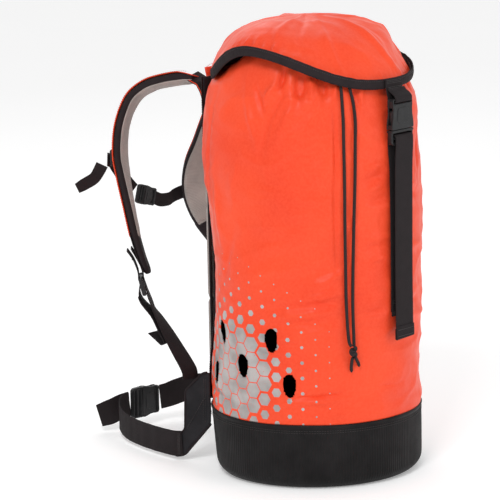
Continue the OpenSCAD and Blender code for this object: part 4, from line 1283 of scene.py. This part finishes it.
def paint(obj, n, m, chosen):
    """Gives each swept face the material whose number chosen(i, j) returns, and the ends number 1."""
    for i in range(n - 1):
        for j in range(m):
            obj.data.polygons[i * m + j].material_index = chosen(i, j)
    for k in (0, 1):
        obj.data.polygons[(n - 1) * m + k].material_index = 1


def make_pad(s, points):
    """A foam pad with mesh on the wearer's side, an orange cover outside and a black foot."""
    name = SIDE_NAMES[s]
    body = f"shoulder_{name}"
    line = evenly(smooth_line(mm(points), 6), 2.5 * MM)
    n = len(line)
    side = pad_side(n, s)
    u = np.linspace(0, 1, n)
    left = (1 - u) * line_length(line) / MM
    tip = np.sqrt(np.clip(1 - (1 - np.clip(left / 20, 0, 1)) ** 2, 0.04, 1))
    head = np.clip(0.76 + 0.24 * u / 0.14, 0, 1)
    taper = 1 - 0.16 * np.clip((u - 0.8) / 0.2, 0, 1)
    across = tip * head * taper
    thick = (np.clip(0.55 + 0.45 * u / 0.06, 0, 1) * (1 - 0.3 * np.clip((u - 0.84) / 0.16, 0, 1))
             * tip ** 0.4)
    section = strap_section(PAD_W * MM, PAD_T * MM, corners=5)
    inward = 1 if s < 0 else -1
    m = len(section)
    pad = sweep("pad", line, side, section, [MESH, BINDING], scale=np.stack([across, thick], 1))
    middles = [(section[j] + section[(j + 1) % m]) / 2 for j in range(m)]
    dark_from = COVER_SHARE[s] * (n - 1)
    kept = int(dark_from) + 1

    def chosen(i, j):
        facing_in = middles[j][1] * inward > (PAD_T / 2 - 0.9) * MM
        return 0 if facing_in and i < dark_from else 1

    paint(pad, n, m, chosen)
    _, s_dir, up = line_frames(line, side)
    # the lining swells a little between its two seams
    lining = []
    for x in np.linspace(-1, 1, 13):
        swell = 2.2 * (1 - x * x) ** 0.6
        lining.append([tuple(line[i] + s_dir[i] * x * (PAD_W / 2 - 2.6) * MM * across[i]
                             + up[i] * inward * (PAD_T / 2 * thick[i] - 0.2
                             + swell * min(1.0, i / 8, max(0, dark_from - i) / 5)
                             + 0.35 * noise.noise(Vector((x * 3, i * 0.22, 8)))) * MM)
                       for i in range(kept)])
    cloth = grid_mesh("lining", lining, MESH, wrap=False, flip=s < 0)
    map_vertices(cloth, lambda number, v: (number // kept * 3.7 * MM, number % kept * 2.5 * MM))
    thickened(cloth, 0.6 * MM, offset=0)
    whole = joined(f"shoulder_pad_{name}_foam", [pad, cloth])
    pad = piece(whole, body, f"shoulder_pad_{name}")
    cover_line = line[:kept] - up[:kept] * inward * COVER_LIFT * MM * np.minimum(thick[:kept], 1)[:, None]
    narrow = np.clip(0.72 + 0.28 * u[:kept] / 0.14, 0, 1)
    cover = sweep(f"shoulder_cover_{name}_cloth", cover_line, side[:kept],
                  strap_section((PAD_W - 5) * MM, 1.4 * MM), TARP,
                  scale=np.stack([narrow, np.ones(kept)], 1))
    piece(cover, body, f"shoulder_cover_{name}")
    lines = []
    for x in (-1, 1):
        near = (PAD_W / 2 - 2.9) * MM * across[:kept, None]
        place = line[:kept] + s_dir[:kept] * x * near - up[:kept] * inward * (COVER_LIFT + 0.7) * MM
        lines.append((place[4:], tuple(-up[kept // 2] * inward)))
    seam(f"shoulder_cover_{name}_stitches", body, lines, slot="tarpaulin_orange", material=THREAD_BLACK)
    # black reinforcement over the pad's foot
    first = kept - 3
    foot_line = line[first:] - up[first:] * inward * (PAD_T / 2 * thick[first:, None] + 0.9) * MM
    foot_section = strap_section((PAD_W - 2) * MM, 1.6 * MM)
    foot = sweep(f"shoulder_foot_{name}", foot_line, side[first:], foot_section, WEB,
                 scale=np.stack([across[first:], np.ones(n - first)], 1))
    piece(foot, body)


def make_tab(s):
    """Two layers of webbing that sew the pad to the bag, with the cover's edge between them."""
    name = SIDE_NAMES[s]
    points = np.array([(-s * x, y, z) for x, y, z in LEFT_TAB], float)
    longer = np.vstack([points, points[-1] + (points[-1] - points[-2]) * 1.5])
    line = evenly(smooth_line(longer * MM, 5), 2 * MM)
    up = line_frames(line, ACROSS)[2]
    webbing_ply = strap_section(34 * MM, 1.5 * MM)
    over = sweep("over", line + up * 1.6 * MM, ACROSS, webbing_ply, WEB)
    under = sweep("under", line - up * 1.6 * MM, ACROSS, webbing_ply, WEB)
    between = sweep("between", line, ACROSS, strap_section(35 * MM, 1.0 * MM), TARP)
    tab = joined(f"shoulder_tab_{name}_webbing", [over, under, between])
    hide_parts(f"shoulder_tab_{name}")
    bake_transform(tab)
    tack(f"shoulder_tack_{name}", "bag", (points[0][0], 145.0, 508), ACROSS, UP, (0, 1, 0), 30, rows=4)


# ---------------------------------------------------------------- strap adjusters
BARS = {-1: (-87, 255, 257), 1: (87, 249, 238)}     # each adjuster's top bar, which its loop holds
BAR_R = 1.9
BAR_PITCH = 10
LOCK_LEAN = math.radians(14)    # how far the adjuster's lower end leans towards the bag
# the loops' Y and Z down to the bar and up again, before the turn at the foot
LOOP_BACK = {-1: [(268, 302), (262, 291), (256, 279), (252.4, 268)],
             1: [(259.4, 297), (251, 285), (246.4, 270), (245.4, 254)]}
LOOP_FRONT = {-1: [(258.6, 266), (261.4, 276), (266, 287), (274, 299)],
              1: [(252.4, 254), (253.4, 268), (257, 281), (265.4, 292)]}


def around_bar(y, z, r, start, end, n):
    return [(y + r * math.cos(math.radians(a)), z + r * math.sin(math.radians(a)))
            for a in np.linspace(start, end, n + 1)]


def at_foot(s, y, z):
    """A point of the adjuster's own YZ plane, which is turned with the strap."""
    x0, y0, _ = BARS[s]
    turn = math.radians(FOOT_TURN)
    return (x0 + s * (y - y0) * math.sin(turn), y0 + (y - y0) * math.cos(turn), z)


def turned_side(s, degrees):
    """The way across a strap that is turned inwards."""
    turn = math.radians(degrees)
    return (math.cos(turn), -s * math.sin(turn), 0)


def turned_out(s, degrees):
    """The way that the outer face of a turned strap looks."""
    turn = math.radians(degrees)
    return (s * math.sin(turn), math.cos(turn), 0)


def make_adjuster(s):
    """A ladder lock of three bars between two cheeks, and the loop of webbing that holds it."""
    name = SIDE_NAMES[s]
    x, y, z = BARS[s]
    plies = LOOP_BACK[s] + around_bar(y, z, BAR_R + 1.5, 180, 360, 6) + LOOP_FRONT[s]
    loop = band(f"adjuster_loop_{name}_webbing", [at_foot(s, *q) for q in plies],
                turned_side(s, FOOT_TURN), 25, step=1.2)
    piece(loop, f"shoulder_{name}", f"adjuster_loop_{name}")
    top = LOOP_FRONT[s][2]
    tack(f"adjuster_tack_{name}", f"shoulder_{name}", at_foot(s, top[0] + 1.2, top[1]),
         turned_side(s, FOOT_TURN), UP, turned_out(s, FOOT_TURN), 22, rows=3)
    place = (Matrix.Translation((x * MM, y * MM, z * MM))
             @ Matrix.Rotation(math.radians(-s * FOOT_TURN), 4, "Z")
             @ Matrix.Rotation(-LOCK_LEAN, 4, "X"))
    half = (WEB_W + 2) / 2
    parts = []
    for k in range(3):
        ends = [place @ Vector((t * half * MM, 0, -k * BAR_PITCH * MM)) for t in (-1, 1)]
        parts.append(rod("bar", *ends, 2 * BAR_R * MM, PLASTIC))
    cheek = rounded([(-3.0, -2 * BAR_PITCH - 3.4), (3.2, -2 * BAR_PITCH - 3.2), (3.6, -BAR_PITCH),
                     (3.0, 3.4), (-3.0, 3.4), (-3.4, -BAR_PITCH)], 2.6, 4)
    quarter = Matrix.Rotation(math.radians(90), 4, "Z")
    for t in (-1, 1):
        aside = Matrix.Translation((t * (half + 1.8) * MM, 0, 0)) @ quarter
        parts.append(plate("cheek", [cheek], 3.6, 1.2, PLASTIC, place @ aside))
    piece(joined(f"adjuster_{name}_frame", parts), f"adjuster_{name}", f"adjuster_{name}")


def make_lower_webbing(s):
    """Webbing that twists on its way from the wing to the adjuster, goes round its middle bar and comes
    down as a tail, whose end turns back."""
    name = SIDE_NAMES[s]
    _, bar_y, bar_z = BARS[s]
    y = bar_y - BAR_PITCH * math.sin(LOCK_LEAN)
    z = bar_z - BAR_PITCH * math.cos(LOCK_LEAN)
    r = BAR_R + 1.5
    top = np.array((s * 88.5, y - 22, z - 29))
    low = np.array((s * 97.4, 156, 136))
    end = low + 0.55 * (top - low)
    off = np.array((0, 4, -4))
    climb = smooth_line([(s * 98.6, 153, 122), low, low + (top - low) / 3, low + (top - low) * 2 / 3, top,
                         at_foot(s, y - 9.6, z - 18), at_foot(s, y - 6.4, z - 9.7)], 3)
    turn = [at_foot(s, *q) for q in around_bar(y, z, r, 180, 0, 6)]
    tail = [at_foot(s, y + 5.4, z - 9), at_foot(s, y + 4, z - 18), (s * 88.2, y - 6, z - 28),
            low + 0.88 * (top - low) + off, low + 0.62 * (top - low) + off]
    tail += [end + np.array(step) for step in ((0, 0.5, -8.3), (0, 2, -12.2), (0, 6.5, -12.3),
                                               (0, 16, -6.3), (0, 27, 0.7))]
    tail = smooth_line(tail, 2)
    points = [tuple(p) for p in climb] + turn + [tuple(p) for p in tail]
    twisted = 0.8 * line_length(climb) / line_length(points)
    untwisting = 1 - line_length(tail) / line_length(points)

    def twist(n):
        shares = [i / (n - 1) for i in range(n)]
        return [turned_side(s, FOOT_TURN * (min(1.0, t / twisted) ** 2 if t < untwisting
                                            else (1 - t) / (1 - untwisting))) for t in shares]

    strap = band(f"lower_webbing_{name}_strap", points, twist, WEB_W - 6, bends=2, step=1.8)
    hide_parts(f"lower_webbing_{name}")
    tuple(mm(at_foot(s, y, z)))
    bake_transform(strap)
    tack(f"lower_webbing_tack_{name}", "bag", (s * 98.9, 155.4, 127), ACROSS, UP, (0, 0.9, -0.4), 28)


# ---------------------------------------------------------------- hip belt
# a wing's outline, out from the bag and up from the floor, and where the two wings stand
WING = [(0, 134), (12, 132), (40, 104), (42, 46), (62, 30), (60, 5), (44, 8), (0, 58)]
WING_PLACES = {-1: Matrix.Translation((-0.0915, 0.122, 0)) @ Matrix.Rotation(math.radians(104), 4, "Z")
               @ Matrix.Translation((0, -0.0015, 0)),
               1: Matrix.Translation((0.0915, 0.122, 0)) @ Matrix.Rotation(math.radians(76), 4, "Z")
               @ Matrix.Translation((0, 0.0015, 0))}
LEFT_BELT = [(-104.4, 166, 25.5), (-107.8, 181, 24.8), (-103, 215, 24.5), (-95, 250, 24.5), (-82, 290, 25),
             (-66, 322, 28), (-48, 343, 34), (-32, 351.4, 38.6), (-17.4, 351.8, 39.8)]
RIGHT_BELT = [(104.4, 166, 25.5), (107.8, 181, 26.5), (108, 205, 36), (106, 235, 48), (97, 272, 56),
              (85, 304, 56), (72, 327, 49), (59, 340.4, 42.4), (45.6, 346.6, 40.4)]
BELT_TAIL = [(-8, 360, 38), (-22, 364, 36), (-38, 371, 30), (-52, 382, 25)]


def cut_sheet(name, outline, step, material, matrix, thickness, puff):
    """A flat piece of cloth cut to an outline, then puckered by puff millimetres."""
    shape = np.array(outline, float)
    edges = list(zip(shape, np.roll(shape, -1, 0)))
    low, high = shape.min(0) - step, shape.max(0) + step
    xs, zs = np.arange(low[0], high[0] + step, step), np.arange(low[1], high[1] + step, step)

    def inside(x, z):
        hits = 0
        for (ax, az), (bx, bz) in edges:
            if (az > z) != (bz > z) and x < (bx - ax) * (z - az) / (bz - az) + ax:
                hits += 1
        return hits % 2 == 1

    def nearest(x, z):
        best = None
        for a, b in edges:
            reach = max((b - a) @ (b - a), 1e-9)
            t = np.clip(((x - a[0]) * (b - a)[0] + (z - a[1]) * (b - a)[1]) / reach, 0, 1)
            p = a + (b - a) * t
            d = (p[0] - x) ** 2 + (p[1] - z) ** 2
            if best is None or d < best[0]:
                best = (d, p)
        return best[1]

    cells = [(i, j) for i in range(len(xs) - 1) for j in range(len(zs) - 1)
             if inside(xs[i] + step / 2, zs[j] + step / 2)]
    taken = set(cells)
    numbers, points, faces = {}, [], []
    for i, j in cells:
        face = []
        for a, b in ((i, j), (i + 1, j), (i + 1, j + 1), (i, j + 1)):
            if (a, b) not in numbers:
                numbers[(a, b)] = len(points)
                around = [(a - 1, b - 1), (a, b - 1), (a - 1, b), (a, b)]
                x, z = xs[a], zs[b]
                if not all(c in taken for c in around):
                    x, z = nearest(x, z)
                bulge = puff * noise.noise(Vector((x / 17, z / 23, 6)))
                points.append(matrix @ Vector((x * MM, bulge * MM, z * MM)))
            face.append(numbers[(a, b)])
        faces.append(tuple(face))
    sheet = make_mesh(name, points, faces, material)
    return thickened(sheet, thickness * MM, offset=0)


def make_wing(s):
    name = SIDE_NAMES[s]
    place = WING_PLACES[s]
    shape = rounded(WING, 5, 4)
    cloth = cut_sheet("cloth", shape, 2.5, CLOTH, place, 2.6, 1.3)
    free = np.array([place @ Vector((x * MM, 0, z * MM)) for x, z in shape[4:-2]])
    face = tuple(place.to_3x3() @ Vector((0, 1, 0)))
    edging = sweep("edging", evenly(free, 2.5 * MM), face, strap_section(5.2 * MM, 3.4 * MM), BINDING)
    wing = joined(f"hip_wing_{name}_cloth", [cloth, edging])
    piece(wing, "bag", f"hip_wing_{name}")
    lines = []
    for offset in (-2.2, 2.2):
        out = tuple(place.to_3x3() @ Vector((0, np.sign(offset), 0)))
        for shift in (0, 3):
            for ends in (((6 + shift, 124), (8 + shift, 60 + shift)),
                         ((8 + shift, 96 - shift), (38 + shift * 0.3, 50 - shift))):
                line = [tuple(place @ Vector((x * MM, offset * MM, z * MM))) for x, z in ends]
                lines.append((np.array(line), out))
    seam(f"hip_wing_{name}_stitches", "bag", lines, slot="base_fabric_black")


def make_hip_belt():
    left = band("hip_belt_left_webbing", LEFT_BELT, UP, WEB_W, bends=5, wave=0.8)
    piece(left, "bag", "hip_belt_left")
    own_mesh(left)
    right = band("hip_belt_right_webbing", RIGHT_BELT, UP, WEB_W, bends=5, wave=0.8)
    piece(right, "bag", "hip_belt_right")
    tail = band("hip_belt_tail_webbing", BELT_TAIL, (0.02, 0.05, 1), WEB_W, bends=5,
                taper=[(0, 1), (0.72, 1), (1, 0.9)])
    piece(tail, "hip_plug", "hip_belt_tail")
    for s, name in SIDE_NAMES.items():
        tack(f"hip_belt_tack_{name}", "bag", (s * 107.4, 170.5, 25), UP, (0, 1, 0), (s, 0.1, 0), 32)


# ---------------------------------------------------------------- chest strap
CHEST_W = 20
SLIDER_L = (-84, 306.5, 430)
SLIDER_R = (84, 307, 356)
CHEST_LEFT = [(-98.6, 303.9, 428.5), (-86.5, 310.9, 425), (-74.3, 317.2, 419), (-61, 317.6, 405),
              (-50, 312.4, 388), (-39.6, 309, 375.4)]
CHEST_RIGHT = [(4.5, 309, 357.4), (20, 311, 351), (42, 314.8, 349), (59, 319.2, 351.5),
               (74.3, 318.2, 354.5), (86.5, 311.2, 356.3), (98.6, 304.2, 357)]
CHEST_TAIL = [(-102.2, 311.8, 420.6), (-106.2, 315.8, 410), (-112, 319.5, 401), (-123, 326.6, 394),
              (-134, 333, 388)]


def make_slider(name, place, s, body):
    x, y, z = place
    at = (Matrix.Translation((x * MM, y * MM, z * MM))
          @ Matrix.Rotation(math.radians(-s * STRAP_TURN), 4, "Z"))
    slots = [box_outline(-11, 11, low, low + 3.5, 1.2) for low in (-7.5, 4)]
    parts = [plate("plate", [box_outline(-14, 14, -12, 12, 4)] + slots, 4.2, 1.3, PLASTIC, at)]
    for bar in (-10, 0, 9.8):
        ends = [at @ Vector((t * 11 * MM, 0, bar * MM)) for t in (-1, 1)]
        parts.append(rod("bar", *ends, 4.6 * MM, PLASTIC))
    piece(joined(f"{name}_moulding", parts), body, name)


def make_chest_strap():
    make_slider("chest_slider_left", SLIDER_L, -1, "chest_left")
    make_slider("chest_slider_right", SLIDER_R, 1, "chest_right")

    def left_lean(n):
        return [(0.55 * i / (n - 1), 0, 1) for i in range(n)]

    left = band("chest_strap_left_webbing", CHEST_LEFT, left_lean, CHEST_W, 1.4, bends=5)
    piece(left, "chest_left", "chest_strap_left")
    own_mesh(left)
    right = band("chest_strap_right_webbing", CHEST_RIGHT, UP, CHEST_W, 1.4, bends=5, wave=0.6)
    piece(right, "chest_right", "chest_strap_right")
    tail = band("chest_strap_tail_webbing", CHEST_TAIL, UP, CHEST_W - 2, 1.4, bends=5,
                taper=[(0, 1), (0.8, 1), (1, 0.86)])
    piece(tail, "chest_left", "chest_strap_tail")
    for s, middle in ((-1, (-93, 308.2, 426.6)), (1, (91, 309.8, 356.6))):
        name = SIDE_NAMES[s]
        tack(f"chest_tack_{name}", f"chest_{name}", middle, UP, turned_side(s, STRAP_TURN),
             turned_out(s, STRAP_TURN), 16)


# ---------------------------------------------------------------- loops
HAUL_LOOP = [(0, 144.4, 519), (0, 145, 534), (0, 148, 546), (0, 155, 552), (0, 162, 549), (0, 165, 538),
             (0, 163.5, 522), (0, 156, 509), (0, 147.5, 503.5), (0, 142.6, 500)]
TIE_LOOP = [(0, 135.8, 494), (0, 135, 478), (0, 124, 452), (0, 112, 440), (0, 108, 450), (0, 118, 472),
            (0, 131, 488), (0, 133.4, 496)]


def make_loops():
    haul = band("haul_loop_webbing", HAUL_LOOP, ACROSS, 25, bends=5, step=1.6)
    piece(haul, "bag", "haul_loop")
    tack("haul_tack_high", "bag", (0, 146.0, 524), ACROSS, UP, (0, 1, 0), 21)
    tie = band("rope_tie_loop_webbing", TIE_LOOP, ACROSS, 20, bends=5, step=1.6)
    piece(tie, "bag", "rope_tie_loop")


make_back_panel()
make_back_pad()
for flank, pad_points in ((-1, LEFT_PAD), (1, RIGHT_PAD)):
    make_pad(flank, pad_points)
    make_tab(flank)
    make_adjuster(flank)
    make_lower_webbing(flank)
    make_wing(flank)
make_hip_belt()
make_chest_strap()
make_loops()


# ---------------------------------------------------------------- CAD pieces kept as they are
def finish_cad_parts():
    """Materials and softened edges for the small hard parts that keep their CAD shape."""
    for name, material, edge in (("cord_lock_body", PLASTIC, 0.9), ("cord_lock_plunger", PLASTIC, 0.7),
                                 ("cord_lock_spring", STEEL, 0.0), ("hem_eyelets", STEEL, 0.35),
                                 ("drawcord_ring", CORD, 0.0)):
        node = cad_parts[name]
        node.data.materials.clear()
        node.data.materials.append(material)
        if edge:
            bevel = node.modifiers.new("soft_edges", "BEVEL")
            bevel.width = edge * MM
            bevel.segments = 3
            bevel.limit_method = "ANGLE"
            bevel.angle_limit = math.radians(40)


finish_cad_parts()


# ---------------------------------------------------------------- stage
FLOOR_HALF = 6.0            # metres
ROOM_LIGHT = 0.55           # the studio in front of the bag
WALL_LIGHT = 1.06           # and its white wall behind
WALL_DIRECTION = (0.766, 0.643, 0)
KEY_POWER = 45
FILL_POWER = 19
RIM_POWER = 6


def area_light(name, place, height, size, power):
    """A square soft light at a place, aimed at the bag's axis at a height. All in metres and watts."""
    data = bpy.data.lights.new(name, "AREA")
    data.shape = "RECTANGLE"
    data.size = size
    data.size_y = size
    data.energy = power
    light = bpy.data.objects.new(name, data)
    bpy.context.scene.collection.objects.link(light)
    aim = Vector((0, 0, height)) - Vector(place)
    light.matrix_world = Matrix.Translation(place) @ aim.to_track_quat("-Z", "Y").to_matrix().to_4x4()
    return light


def make_world():
    """A white room that is brighter on the side that the camera looks at."""
    world = bpy.data.worlds.new("studio")
    world.use_nodes = True
    nodes, links = world.node_tree.nodes, world.node_tree.links
    place = nodes.new("ShaderNodeTexCoord")
    facing = nodes.new("ShaderNodeVectorMath")
    facing.operation = "DOT_PRODUCT"
    facing.inputs[1].default_value = WALL_DIRECTION
    links.new(place.outputs["Generated"], facing.inputs[0])
    wall = nodes.new("ShaderNodeMapRange")
    wall.interpolation_type = "SMOOTHSTEP"
    wall.inputs["From Min"].default_value = -0.1
    wall.inputs["From Max"].default_value = 0.75
    wall.inputs["To Min"].default_value = ROOM_LIGHT
    wall.inputs["To Max"].default_value = WALL_LIGHT
    links.new(facing.outputs["Value"], wall.inputs["Value"])
    links.new(wall.outputs["Result"], nodes["Background"].inputs["Strength"])
    nodes["Background"].inputs["Color"].default_value = (1, 1, 1, 1)
    bpy.context.scene.world = world


def make_stage():
    make_world()
    lights = [area_light("key", (-2.3, -1.1, 2.6), 0.35, 0.9, KEY_POWER),
              area_light("fill", (0.6, -3.2, 1.2), 0.3, 1.6, FILL_POWER),
              area_light("rim", (1.6, 2.2, 2.2), 0.45, 1.2, RIM_POWER)]
    s = Shader("floor", roughness=0.9, Specular_IOR_Level=0.1, Emission_Strength=0.22)
    s.set(Base_Color=s.mix(s.noise(3.0, 2.0), (0.96, 0.96, 0.96), (0.94, 0.94, 0.94)))
    corners = [(x * FLOOR_HALF, y * FLOOR_HALF, 0) for x, y in ((-1, -1), (1, -1), (1, 1), (-1, 1))]
    floor = make_mesh("floor", corners, [(0, 1, 2, 3)], s.material)
    bpy.context.scene.view_settings.view_transform = "Standard"


make_stage()
